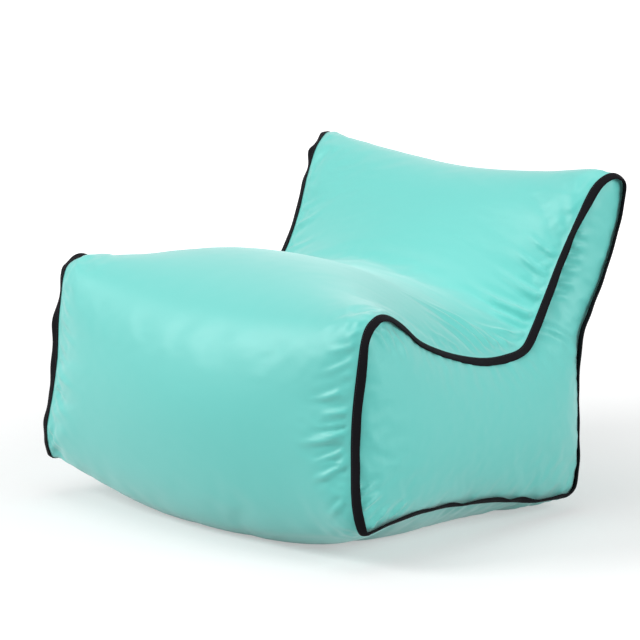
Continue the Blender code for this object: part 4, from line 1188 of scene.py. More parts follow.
@dataclass(frozen=True)
class Moulding(Finish):
    """Moulded plastic or rubber: a fine spark-eroded grain and edges a little paler from handling."""

    grain: float = 0.5 * MM
    metallic: float = 0.0
    coat: float = 0.0
    see_through: float = 0.0
    worn_shade: str = "#6A6A6E"

    def build(self) -> bpy.types.Material:
        """The moulding: its grain scatters the light a little unevenly, and its sharp edges are paler."""
        material, tree, shader = self.start()
        self.set_values(shader, {"Metallic": self.metallic, "Transmission Weight": self.see_through})
        self.set_values(shader, {"Coat Weight": self.coat, "Coat Roughness": 0.18})
        place = add_node(tree, "ShaderNodeTexCoord").outputs["Object"]
        grain = mottle(tree, place, 1 / self.grain, 2.0)
        range_ends = {0: grain, 3: self.roughness - 0.06, 4: self.roughness + 0.08}
        rough = add_node(tree, "ShaderNodeMapRange", range_ends).outputs[0]
        edge = add_node(tree, "ShaderNodeNewGeometry").outputs["Pointiness"]
        worn = add_node(tree, "ShaderNodeMapRange", {0: edge, 1: 0.52, 2: 0.62, 3: 0.0, 4: 0.25})
        pale = between(tree, worn.outputs[0], self.hex, self.worn_shade)
        tree.links.new(rough, shader.inputs["Roughness"])
        tree.links.new(pale, shader.inputs["Base Color"])
        tree.links.new(relief(tree, grain, 0.15, 0.1 * MM), shader.inputs["Normal"])
        return material


@dataclass
class FinishRack:
    """The seat's finished materials, built once."""

    cloth: bpy.types.Material
    tape: bpy.types.Material
    thread: bpy.types.Material
    zip_plastic: bpy.types.Material
    zip_metal: bpy.types.Material
    valve_plastic: bpy.types.Material
    valve_rubber: bpy.types.Material
    film: bpy.types.Material

    @classmethod
    def build(cls) -> "FinishRack":
        """Builds every finish."""
        return cls(
            cloth=CoatedPolyester().build(),
            tape=GrosgrainTape().build(),
            thread=SpunThread().build(),
            zip_plastic=Moulding("moulded_acetal", "#1B1A1E", 0.42).build(),
            zip_metal=Moulding("lacquered_zinc_casting", "#26252A", 0.34, metallic=0.6, coat=0.5).build(),
            valve_plastic=Moulding("moulded_pvc", "#1A191C", 0.40).build(),
            valve_rubber=Moulding("moulded_soft_pvc", "#232226", 0.58).build(),
            film=Moulding("welded_tpu_film", "#D3DDDE", 0.26, see_through=0.35).build(),
        )


@dataclass(frozen=True)
class PathRow:
    """One shape repeated along paths by geometry nodes: stitches of thread, or the teeth of a zip."""

    pitch: float = 3.2 * MM
    size: tuple[float, float, float] = (2.4 * MM, 0.46 * MM, 0.46 * MM)
    shape: bpy.types.Object | None = None

    def tree(self, material: bpy.types.Material) -> bpy.types.GeometryNodeTree:
        """The node tree: the path is divided by the pitch, and the shape laid at each point.

        Args:
            material: What the shapes are made of.

        Returns:
            The tree, with the path, the pitch and the size as its inputs.
        """
        tree = bpy.data.node_groups.new("path_row", "GeometryNodeTree")
        for name, kind in (("Path", "Geometry"), ("Pitch", "Float"), ("Size", "Vector")):
            tree.interface.new_socket(name, in_out="INPUT", socket_type=f"NodeSocket{kind}")
        tree.interface.new_socket("Row", in_out="OUTPUT", socket_type="NodeSocketGeometry")
        entry = add_node(tree, "NodeGroupInput").outputs
        curve = add_node(tree, "GeometryNodeMeshToCurve", {"Mesh": entry["Path"]}).outputs[0]
        divided = {"Curve": curve, "Length": entry["Pitch"]}
        even = add_node(tree, "GeometryNodeResampleCurve", divided, mode="LENGTH").outputs[0]
        laid = {"Points": even, "Instance": self.unit_shape(tree), "Rotation": self.turn(tree)}
        copies = add_node(tree, "GeometryNodeInstanceOnPoints", {**laid, "Scale": entry["Size"]})
        real = add_node(tree, "GeometryNodeRealizeInstances", {"Geometry": copies.outputs[0]})
        finished = {"Geometry": real.outputs[0], "Material": material}
        dressed = add_node(tree, "GeometryNodeSetMaterial", finished)
        add_node(tree, "NodeGroupOutput", {0: dressed.outputs[0]})
        return tree

    def unit_shape(self, tree: bpy.types.GeometryNodeTree) -> bpy.types.NodeSocket:
        """The shape that is repeated: the given one, or a small bead for a stitch."""
        if self.shape:
            return add_node(tree, "GeometryNodeObjectInfo", {"Object": self.shape}).outputs["Geometry"]
        bead = {"Segments": 6, "Rings": 4, "Radius": 0.5}
        return add_node(tree, "GeometryNodeMeshUVSphere", bead).outputs["Mesh"]

    @staticmethod
    def turn(tree: bpy.types.GeometryNodeTree) -> bpy.types.NodeSocket:
        """The shape's turn: its X along the path, and its Z the way that the surface faces there."""
        ahead = {"Vector": add_node(tree, "GeometryNodeInputTangent").outputs[0]}
        along = add_node(tree, "FunctionNodeAlignRotationToVector", ahead, axis="X")
        facing = add_node(
            tree, "GeometryNodeInputNamedAttribute", {"Name": "facing"}, data_type="FLOAT_VECTOR"
        )
        up = {"Rotation": along.outputs[0], "Vector": facing.outputs[0]}
        kind = "FunctionNodeAlignRotationToVector"
        return add_node(tree, kind, up, axis="Z", pivot_axis="X").outputs[0]

    def lay(
        self, name: str, paths: Sequence[tuple[np.ndarray, np.ndarray, bool]], material: bpy.types.Material
    ) -> bpy.types.Object:
        """Lays the shape along several paths, as one piece.

        Args:
            name: The piece's name.
            paths: For each path its points, the way the shape faces there, and whether it closes.
            material: What the shapes are made of.

        Returns:
            The piece, as a plain mesh.
        """
        points = np.vstack([path[0] for path in paths])
        mesh = bpy.data.meshes.new(name)
        edges, first = [], 0
        for path, _, closed in paths:
            count = len(path)
            edges += [(first + i, first + (i + 1) % count) for i in range(count if closed else count - 1)]
            first += count
        mesh.from_pydata(points.tolist(), edges, [])
        facing = mesh.attributes.new("facing", "FLOAT_VECTOR", "POINT")
        facing.data.foreach_set("vector", np.vstack([path[1] for path in paths]).ravel())
        piece = bpy.data.objects.new(name, mesh)
        bpy.context.scene.collection.objects.link(piece)
        tree = self.tree(material)
        modifier = piece.modifiers.new("row", "NODES")
        modifier.node_group = tree
        values = {"Pitch": self.pitch, "Size": self.size}
        for socket in tree.interface.items_tree:
            if socket.item_type == "SOCKET" and socket.name in values:
                modifier[socket.identifier] = values[socket.name]
        apply_modifiers(piece)
        piece.data.shade_smooth()
        dress(piece, material)
        bpy.data.node_groups.remove(tree)
        return piece


@dataclass
class FinFrame:
    """The run of a seam's fin: where it starts, and how it leans and curls towards the side panel."""

    seam: np.ndarray
    across: np.ndarray
    outward: np.ndarray
    lean: np.ndarray
    curl: np.ndarray
    reach: float = 11.4 * MM

    def at(self, height: np.ndarray, level: np.ndarray) -> np.ndarray:
        """Points of the fin, one for each row: height along its curve, level off it to the strip's side."""
        bend = self.curl / self.reach
        bend = np.where(np.abs(bend) < 1e-3, 1e-3, bend)
        angle = self.lean + bend * height
        out = (np.sin(angle) - np.sin(self.lean)) / bend + level * np.sin(angle)
        down = (np.cos(self.lean) - np.cos(angle)) / bend - level * np.cos(angle)
        return self.seam + self.across * out[:, None] - self.outward * down[:, None]

    def facing(self, height: float) -> np.ndarray:
        """The way that the fin's strip side faces at a height, for each row."""
        angle = (self.lean + self.curl / self.reach * height)[:, None]
        return self.outward * np.cos(angle) + self.across * np.sin(angle)


@dataclass(frozen=True)
class Fold:
    """A short fold in cloth: a ridge between two shallow troughs, highest near its start.

    Start, end, width, height and bow are in millimetres; width is half the ridge's.
    """

    start: Sequence[float]
    end: Sequence[float]
    width: float
    height: float
    bow: float = 0.0
    trough_place: float = 1.9
    trough_width: float = 1.2
    trough_share: float = 0.42
    rises: tuple[float, float] = (-0.08, 0.12)
    fades: tuple[float, float] = (0.35, 1.0)
    cloth_only: tuple[float, float] = (16 * MM, 26 * MM)

    def lift(self, points: np.ndarray, normals: np.ndarray) -> np.ndarray:
        """How far the fold raises each point along its normal, in metres."""
        a, b = np.array(self.start) * MM, np.array(self.end) * MM
        run, width = b - a, self.width * MM
        length = np.linalg.norm(run)
        found = np.zeros(len(points))
        gaps = np.linalg.norm(points - (a + b) / 2, axis=1)
        near = np.flatnonzero(gaps < length / 2 + 5 * width + 20 * MM)
        normal = normals[near]
        t = (points[near] - a) @ run / length**2
        off = points[near] - a - t[:, None] * run
        aside = (off * np.cross(normal, run / length)).sum(axis=1)
        s = (aside - self.bow * MM * 4 * t * (1 - t)) / width
        deep = np.abs((off * normal).sum(axis=1))
        place, wide = self.trough_place, self.trough_width
        troughs = np.exp(-(((s - place) / wide) ** 2)) + np.exp(-(((s + place) / wide) ** 2))
        fade = smooth_step(*self.rises, t) * (1 - smooth_step(*self.fades, t))
        fade = fade * (1 - smooth_step(*self.cloth_only, deep))
        found[near] = self.height * MM * (np.exp(-(s**2)) - self.trough_share * troughs) * fade
        return found


@dataclass
class Cover:
    """The sewn cover: its four panels with their seam allowances and their hems."""

    cloth: CoverCloth
    finishes: FinishRack
    thickness: float = 0.5 * MM
    allowance: float = 10.6 * MM
    hem: float = 7.0 * MM
    groove: float = 0.9 * MM
    valve_hole: float = 14.2 * MM
    deepest: float = 1.9 * MM
    strip_margin: float = 1.5 * MM
    side_margin: float = 4 * MM
    side_pucker_share: float = 0.55
    side_pucker_spread: float = 1.7
    lean_wander: float = 4
    curl_wander: float = 9
    seed: int = 5

    # Waves of the fin's wandering lean: turns in one round, phase and size.
    WANDER = ((5, 0.4, 0.3), (11, 2.1, 0.3), (23, 4.0, 0.35), (41, 1.2, 0.22))

    def __post_init__(self) -> None:
        """Works out the fin's frames and the places on the cloth."""
        self.travel = self.row_travel()
        self.frames = {side: self.fin_frame(side) for side in Side}
        self.seam_tree = KDTree(2 * self.cloth.row_count)
        for k, side in enumerate(Side):
            for i, point in enumerate(self.cloth.seam(side)):
                self.seam_tree.insert(point, k * self.cloth.row_count + i)
        self.seam_tree.balance()
        self.place_folds()
        self.strip_panels: list[bpy.types.Object] = []

    def row_travel(self) -> np.ndarray:
        """Distance of each row along the strip."""
        middle = self.cloth.strip[:, self.cloth.column_count // 2]
        steps = np.linalg.norm(np.diff(middle, axis=0, append=middle[:1]), axis=1)
        seam = self.cloth.strip[:, -1]
        seam_steps = np.linalg.norm(np.diff(seam, axis=0, append=seam[:1]), axis=1)
        return np.concatenate([[0], np.cumsum(np.maximum(steps, seam_steps))])

    def fin_frame(self, side: Side) -> FinFrame:
        """The run of one seam's fin, with a lean that wanders a little as sewn tape does."""
        seam = self.cloth.seam(side)
        ahead = np.roll(seam, -2, axis=0) - np.roll(seam, 2, axis=0)
        ahead[:, 0] = 0
        ahead = unit(ahead)
        outward = np.column_stack([np.zeros(len(seam)), -ahead[:, 2], ahead[:, 1]])
        share = self.travel[:-1] / self.travel[-1] * math.tau
        waves = [np.sin(share * turns + phase + side.value) * size for turns, phase, size in self.WANDER]
        wander = sum(waves)
        u = self.cloth.u
        loose = 0.75 + 0.5 * (u > named("ear")) + 0.3 * (u < named("toe"))
        first = 1 if side is Side.RIGHT else 3
        lean = by_station(FIN_LEANS, first, u) + self.lean_wander * wander * loose
        curl = by_station(FIN_LEANS, first + 1, u) + self.curl_wander * np.roll(wander, 7) * loose
        for station, reach, more_lean, more_curl in RIGHT_WAVES if side is Side.RIGHT else LEFT_WAVES:
            share = np.exp(-(((u - station) / reach) ** 2))
            lean, curl = lean + more_lean * share, curl + more_curl * share
        across = np.array([side.value, 0.0, 0.0])
        return FinFrame(seam, across, outward, np.radians(lean), np.radians(curl))

    def on_fin(self, side: Side, height: float, level: float) -> np.ndarray:
        """Points in the fin for every row: height along it, level across it towards the strip."""
        rows = np.ones(self.cloth.row_count)
        return self.frames[side].at(rows * height, rows * level)

    def strip_rows(self, rows: np.ndarray) -> tuple[np.ndarray, np.ndarray]:
        """The strip's rows with their allowances at both ends, and their places on the flat cloth.

        Args:
            rows: Their numbers, which may run past the last one.

        Returns:
            The points and the places, row by row.
        """
        count = self.cloth.row_count
        level = self.thickness + 0.1 * MM
        at = rows % count
        sides = {}
        for side in Side:
            parts = [self.on_fin(side, h, level)[at] for h in (self.allowance, self.allowance / 2)]
            parts.append(self.on_fin(side, 0.3 * MM, level / 2)[at])
            sides[side] = np.stack(parts, axis=1)
        body = self.cloth.settled_strip[at][:, 1:-1]
        points = np.concatenate([sides[Side.LEFT], body, sides[Side.RIGHT][:, ::-1]], axis=1)
        half = self.cloth.strip[at][:, -1, 0]
        x = half[:, None] * self.cloth.shares[None, 1:-1]
        out = np.array([self.allowance, self.allowance / 2, 0])
        left = -half[:, None] - out[None]
        right = half[:, None] + out[None, ::-1]
        u = np.concatenate([left, x, right], axis=1)
        v = np.broadcast_to(self.travel[rows][:, None], u.shape)
        return points, np.dstack([u, v])

    def inward(self, rows: np.ndarray) -> np.ndarray:
        """Unit vectors into the seat at every point of the strip's own columns in some rows."""
        strip = self.cloth.settled_strip
        ahead = np.roll(strip, -1, axis=0) - np.roll(strip, 1, axis=0)
        across = np.gradient(strip, axis=1)
        return -unit(np.cross(across, ahead))[rows % self.cloth.row_count]

    def slot_columns(self) -> np.ndarray:
        """Numbers of the strip's columns along the zip's gap, with its ends."""
        x = self.cloth.shares * self.cloth.form.spread / 2
        reach = self.cloth.plan.slot_half_length + MM
        return np.flatnonzero(np.abs(x) <= reach)

    def zip_rows(self) -> tuple[int, int]:
        """Numbers of the rows at the upper and the lower edge of the zip's gap."""
        upper, lower = self.cloth.plan.slot_stations()
        return int(np.argmin(abs(self.cloth.u - upper))), int(np.argmin(abs(self.cloth.u - lower)))

    def panel(self, name: str, rows: np.ndarray, hem_row: int, back: int) -> bpy.types.Object:
        """One panel of the strip, with its cloth turned in along the zip.

        Args:
            name: Name of the CAD node that it stands for.
            rows: Numbers of its rows, which may run past the last one.
            hem_row: Number in rows of the edge along the zip.
            back: 1 if the cloth lies before that row, and -1 if after it, where the bands of faces
                before it are left open as the zip's gap.

        Returns:
            The panel, as a plain closed mesh.
        """
        points, uv = self.strip_rows(rows)
        inward = self.inward(rows)
        for edge in (0, -1):
            points[edge, 3:-3] += inward[edge, 1:-1] * self.groove
        columns = points.shape[1]
        slot = self.slot_columns() + 2
        into = inward[hem_row, slot - 2]
        faces = grid_faces(len(rows), columns)
        if back > 0:
            points[hem_row, slot] -= into * self.groove
        else:
            band = set(range(slot[0], slot[-1]))
            faces = [f for f in faces if f[0] >= hem_row * columns or f[0] % columns not in band]
        hem = self.hem_lines(points[hem_row, slot], points[hem_row - back, slot], into)
        first = points.size // 3
        runs = [hem_row * columns + slot]
        runs += [first + k * len(slot) + np.arange(len(slot)) for k in range(len(hem))]
        faces += turned_over(run_faces(runs), back < 0)
        flat_hem = [uv[hem_row, slot] + (0, k * 2 * MM) for k in range(1, len(hem) + 1)]
        places = np.concatenate([points.reshape(-1, 3), *hem])
        flat = np.concatenate([uv.reshape(-1, 2), *flat_hem])
        piece = make_mesh(name + "_cloth", places, faces, flat)
        self.finish_cloth(piece, self.strip_folds, self.strip_margin)
        return piece

    def hem_lines(self, edge: np.ndarray, next_row: np.ndarray, into: np.ndarray) -> list[np.ndarray]:
        """The lines of a hem: its fold, and the near and the far edge of the cloth turned in.

        Args:
            edge: Points along the hem's edge.
            next_row: The cloth's next row from there.
            into: Unit vectors into the seat along the edge.

        Returns:
            The points of each line.
        """
        behind = unit(next_row - edge)
        steps = ((-0.5 * MM, 0.55 * MM), (0.8 * MM, 1.1 * MM), (self.hem, 1.1 * MM))
        return [edge + behind * back + into * deep for back, deep in steps]

    def finish_cloth(self, piece: bpy.types.Object, folds: Sequence[Fold], margin: float) -> None:
        """Rounds a panel, presses its folds in from a margin off the seams, and gives it its thickness.

        Args:
            piece: The panel.
            folds: Its folds.
            margin: Where they start, inside the seams.
        """
        subdivide(piece)
        apply_modifiers(piece)
        mesh = piece.data
        points, normals = np.zeros(len(mesh.vertices) * 3), np.zeros(len(mesh.vertices) * 3)
        mesh.vertices.foreach_get("co", points)
        mesh.vertex_normals.foreach_get("vector", normals)
        points, normals = points.reshape(-1, 3), normals.reshape(-1, 3)
        lift = np.maximum(sum(fold.lift(points, normals) for fold in folds), -self.deepest)
        moved = np.flatnonzero(np.abs(lift) > 1e-6)
        inward = np.array([self.from_seam(points[i]) for i in moved])
        share = smooth_step(margin, margin + 6 * MM, inward)
        points[moved] += normals[moved] * (lift[moved] * share)[:, None]
        mesh.vertices.foreach_set("co", points.ravel())
        thicken(piece, self.thickness)
        apply_modifiers(piece)
        dress(piece, self.finishes.cloth)

    def from_seam(self, point: np.ndarray) -> float:
        """How far a point lies inside its nearest seam; on the fin it is nearly nothing or less."""
        _, index, _ = self.seam_tree.find(point)
        side = Side.LEFT if index < self.cloth.row_count else Side.RIGHT
        line = self.frames[side]
        row = index % self.cloth.row_count
        off = point - line.seam[row]
        return float(max(-off @ line.across, -off @ line.outward[row]))

    def place_folds(self) -> None:
        """Lays out the listed folds, and puckers along both seams of both kinds of panel."""
        rng = np.random.default_rng(self.seed)
        self.strip_folds = [Fold(*row) for row in STRIP_FOLDS]
        side_folds = [Fold(*row) for row in SIDE_FOLDS]
        self.side_folds = {side: [] for side in Side}
        for mirrored in list(self.strip_folds):
            self.strip_folds.append(self.mirror(mirrored, rng))
        self.side_folds[Side.RIGHT] += side_folds
        self.side_folds[Side.LEFT] += [self.mirror(fold, rng) for fold in side_folds]
        for side in Side:
            self.strip_folds += self.pucker(side, True, rng)
            self.side_folds[side] += self.pucker(side, False, rng)

    @staticmethod
    def mirror(fold: Fold, rng: np.random.Generator) -> Fold:
        """A fold like another on the other side, a little shifted."""
        shift = rng.uniform(-6, 6, 3) * (0, 1, 1)
        start, end = (np.array(p) * (-1, 1, 1) + shift for p in (fold.start, fold.end))
        return Fold(start, end, fold.width, fold.height * rng.uniform(0.6, 1.0), -fold.bow)

    def pucker(self, side: Side, on_strip: bool, rng: np.random.Generator) -> list[Fold]:
        """Small puckers along one seam.

        Args:
            side: Which seam.
            on_strip: Whether they lie on the strip, or else on the side panel.
            rng: Where the uneven spacing and sizes come from.

        Returns:
            The puckers, all round the seam.
        """
        count = self.cloth.row_count
        folds = []
        place = rng.uniform(0, 10)
        while place < self.travel[-1] / MM:
            row = int(np.searchsorted(self.travel, place * MM)) % count
            spacing, height, length = (float(by_station(PUCKERS, k, self.cloth.u[row])) for k in (1, 2, 3))
            skewed = (row + int(rng.integers(-2, 3))) % count
            length *= rng.uniform(0.6, 1.25)
            height *= rng.uniform(0.5, 1.2) * (1 if on_strip else self.side_pucker_share)
            ends = self.strip_ends if on_strip else self.side_ends
            start, end = ends(side, row, skewed, length)
            width = rng.uniform(3.8, 5.4)
            folds.append(Fold(start / MM, end / MM, width, height, rng.uniform(-3, 3)))
            place += spacing * (1 if on_strip else self.side_pucker_spread) * rng.uniform(0.7, 1.35)
        return folds

    def strip_ends(self, side: Side, row: int, skewed: int, length: float) -> list[np.ndarray]:
        """Where a pucker on the strip starts and ends.

        Args:
            side: The seam that it starts at.
            row: The row of its start.
            skewed: The row of its end.
            length: Its length in millimetres.

        Returns:
            Both points.
        """
        line = self.frames[side]
        half = line.seam[row] @ line.across
        return [self.strip_point(r, side, 1 - d * MM / half) for r, d in ((row, 2), (skewed, length))]

    def side_ends(self, side: Side, row: int, skewed: int, length: float) -> list[np.ndarray]:
        """The same for a pucker on the side panel, which starts 6 mm from the seam."""
        line = self.frames[side]
        return [line.seam[r] - line.outward[r] * d * MM for r, d in ((row, 6), (skewed, 6 + length))]

    def strip_point(self, row: int, side: Side, share: float) -> np.ndarray:
        """A point of the settled strip at a share of the half spread on one side."""
        line = self.cloth.settled_strip[row]
        return np.array([np.interp(side.value * share, self.cloth.shares, line[:, k]) for k in range(3)])

    def side_panel(self, side: Side) -> bpy.types.Object:
        """A side panel with its allowance, as a plain closed mesh."""
        cloth = self.cloth
        index = cloth.side_index(side)
        count = cloth.row_count
        points = cloth.points[index].copy()
        level = -(self.thickness + 0.1 * MM)
        points[:count] = self.on_fin(side, 0.5 * MM, level / 2)
        rings = [self.on_fin(side, h, level) for h in (self.allowance / 2, self.allowance)]
        faces = turned_over(cloth.side_faces, side is Side.LEFT)
        runs = [first + np.arange(count) for first in (0, len(points), len(points) + count)]
        faces += turned_over(run_faces(runs, closed=True), side is Side.RIGHT)
        points = np.concatenate([points, *rings])
        piece = make_mesh(f"side_panel_{side.name.lower()}_cloth", points, faces, points[:, 1:].copy())
        self.finish_cloth(piece, self.side_folds[side], self.side_margin)
        return piece

    def build(self) -> None:
        """Builds the panels and puts them in the CAD panels' places."""
        upper, lower = self.zip_rows()
        count = self.cloth.row_count
        seat = self.panel("seat_panel", np.arange(0, upper + 1), upper, 1)
        base = self.panel("base_panel", np.arange(upper, count + 1), lower - upper, -1)
        cut_round_hole(base, self.valve_axis(), self.valve_hole, 30 * MM)
        self.place(seat, "seat_panel")
        self.place(base, "base_panel")
        self.strip_panels = [seat, base]
        for side in Side:
            self.place(self.side_panel(side), f"side_panel_{side.name.lower()}")

    def valve_axis(self) -> Vector:
        """Where the valve's axis meets the cover's outer face."""
        row = self.cloth.form.controls()[named("valve_line")]
        return Vector((0, row[3], row[4]))

    def rear_face(self, places: np.ndarray) -> tuple[np.ndarray, np.ndarray]:
        """Points and outward normals on the cover's rear at (x, z) places, found along Y.

        Args:
            places: The places, one in each row.

        Returns:
            The points and the normals.
        """
        bpy.context.view_layer.update()
        points, normals = [], []
        for x, z in places:
            hits = [p.ray_cast(Vector((x, 0.5, z)), Vector((0, -1, 0))) for p in self.strip_panels]
            _, point, normal, _ = max((hit for hit in hits if hit[0]), key=lambda hit: hit[1].y)
            points.append(point)
            normals.append(normal)
        return np.array(points), np.array(normals)

    @staticmethod
    def place(piece: bpy.types.Object, node: str) -> None:
        """Puts a finished panel in its CAD node's place."""
        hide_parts(node)
        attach(piece, "cover")
        log.info("%s: %d faces", piece.name, len(piece.data.polygons))


@dataclass
class SeamBinding:
    """The folded tape round both halves of each bound seam, and its stitches."""

    cover: Cover
    height: float = 13.0 * MM
    half: float = 1.6 * MM
    wall: float = 0.75 * MM
    strip_start: float = 1.2 * MM
    side_start: float = 2.6 * MM
    stitch_height: float = 3.4 * MM
    lap_station: str = "toe_front"
    lap_rows: int = 4
    lap_thickness: float = 1.35
    lap_rise: float = 0.5 * MM
    outer_points: int = 15
    edge_points: tuple[int, int] = (6, 9)

    def section(self) -> np.ndarray:
        """The tape's section as (height, level) points, round the outside and back along the lining."""
        h, t = self.height, self.half
        outer = [
            (self.strip_start, t * 0.62),
            (self.strip_start + 0.5 * MM, t * 0.94),
            (self.stitch_height, t * 0.84),
            (self.stitch_height + 1.6 * MM, t * 1.02),
            (h * 0.72, t * 1.04),
            (h * 0.90, t * 0.94),
            (h * 0.98, t * 0.55),
            (h, 0.0),
            (h * 0.98, -t * 0.55),
            (h * 0.90, -t * 0.94),
            (h * 0.72, -t * 1.04),
            (self.stitch_height + 1.6 * MM, -t * 1.02),
            (self.stitch_height, -t * 0.84),
            (self.side_start + 0.2 * MM, -t * 0.94),
            (self.side_start, -t * 0.62),
        ]
        lining = t - self.wall
        inner = [
            (self.side_start + 0.1 * MM, -lining),
            (h * 0.6, -lining),
            (h - self.wall, -lining * 0.8),
            (h - self.wall, lining * 0.8),
            (h * 0.6, lining),
            (self.strip_start + 0.1 * MM, lining),
        ]
        return np.array(outer + inner)

    def tape(self, side: Side) -> bpy.types.Object:
        """The tape of one seam, swept round it."""
        frame_line = self.cover.frames[side]
        section = self.section()
        rows = self.cover.cloth.row_count
        share = self.cover.travel[:-1] / self.cover.travel[-1] * math.tau
        soft = 1 + 0.05 * np.sin(share * 23 + side.value) + 0.04 * np.sin(share * 41 + 2)
        tall = 1 + 0.03 * np.sin(share * 11 + 2 * side.value) + 0.02 * np.sin(share * 29)
        heights = section[None, :, 0] * tall[:, None]
        levels = section[None, :, 1] * soft[:, None]
        start = int(np.argmin(np.abs(self.cover.cloth.u - named(self.lap_station))))
        lap = slice(start, start + self.lap_rows)
        levels[lap, : self.outer_points] *= self.lap_thickness
        heights[lap, slice(*self.edge_points)] += self.lap_rise
        points = np.stack(
            [frame_line.at(heights[:, k], levels[:, k]) for k in range(len(section))], axis=1
        )
        faces = turned_over(tube_faces(rows, len(section), closed=True), side is Side.RIGHT)
        outline = np.concatenate([[0], np.cumsum(np.linalg.norm(np.diff(section, axis=0), axis=1))])
        uv = np.dstack(np.broadcast_arrays(outline[None, :], self.cover.travel[:-1][:, None]))
        name = f"seam_tape_{side.name.lower()}_woven"
        piece = make_mesh(name, points.reshape(-1, 3), faces, uv.reshape(-1, 2))
        subdivide(piece)
        apply_modifiers(piece)
        dress(piece, self.cover.finishes.tape)
        return piece

    def stitches(self, side: Side) -> bpy.types.Object:
        """The stitches on both faces of one seam's tape."""
        facing = self.cover.frames[side].facing(self.stitch_height)
        paths = []
        for way in (1, -1):
            points = self.cover.on_fin(side, self.stitch_height, way * (self.half * 0.86 + 0.05 * MM))
            paths.append((points, facing * way, True))
        name = f"seam_stitches_{side.name.lower()}"
        return PathRow().lay(name, paths, self.cover.finishes.thread)

    def build(self) -> None:
        """Builds both seams' tapes and stitches."""
        for side in Side:
            tape = self.tape(side)
            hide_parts(f"seam_tape_{side.name.lower()}")
            stitches = self.stitches(side)
            for piece in (tape, stitches):
                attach(piece, "cover")
            log.info("%s and its stitches: %d faces", tape.name, len(tape.data.polygons))


@dataclass
class AirBladder:
    """The welded film bladder that holds the air, just inside the cover and deeper behind the zip."""

    cover: Cover
    depth: float = 4.6 * MM
    zip_depth: float = 6.1 * MM
    side_depth: float = 5.4 * MM
    film: float = 0.45 * MM
    neck_hole: float = 11.3 * MM

    def build(self) -> None:
        """Builds the bladder in its CAD node's place."""
        cloth = self.cover.cloth
        skin = make_mesh("air_bladder_film", cloth.points, cloth.faces)
        normals = np.zeros(len(cloth.points) * 3)
        skin.data.vertex_normals.foreach_get("vector", normals)
        depth = np.full(len(cloth.points), self.side_depth)
        rise = smooth_step(named("kink_over"), named("kink"), cloth.u)
        fall = smooth_step(named("heel_rear"), named("heel"), cloth.u)
        rows = self.depth + (self.zip_depth - self.depth) * rise * (1 - fall)
        depth[: cloth.settled_strip.size // 3] = np.repeat(rows, cloth.column_count)
        inside = cloth.points - normals.reshape(-1, 3) * depth[:, None]
        skin.data.vertices.foreach_set("co", inside.ravel())
        thicken(skin, self.film)
        apply_modifiers(skin)
        cut_round_hole(skin, self.cover.valve_axis(), self.neck_hole, 30 * MM)
        dress(skin, self.cover.finishes.film)
        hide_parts("air_bladder")
        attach(skin, "cover")
        log.info("%s: %d faces", skin.name, len(skin.data.polygons))


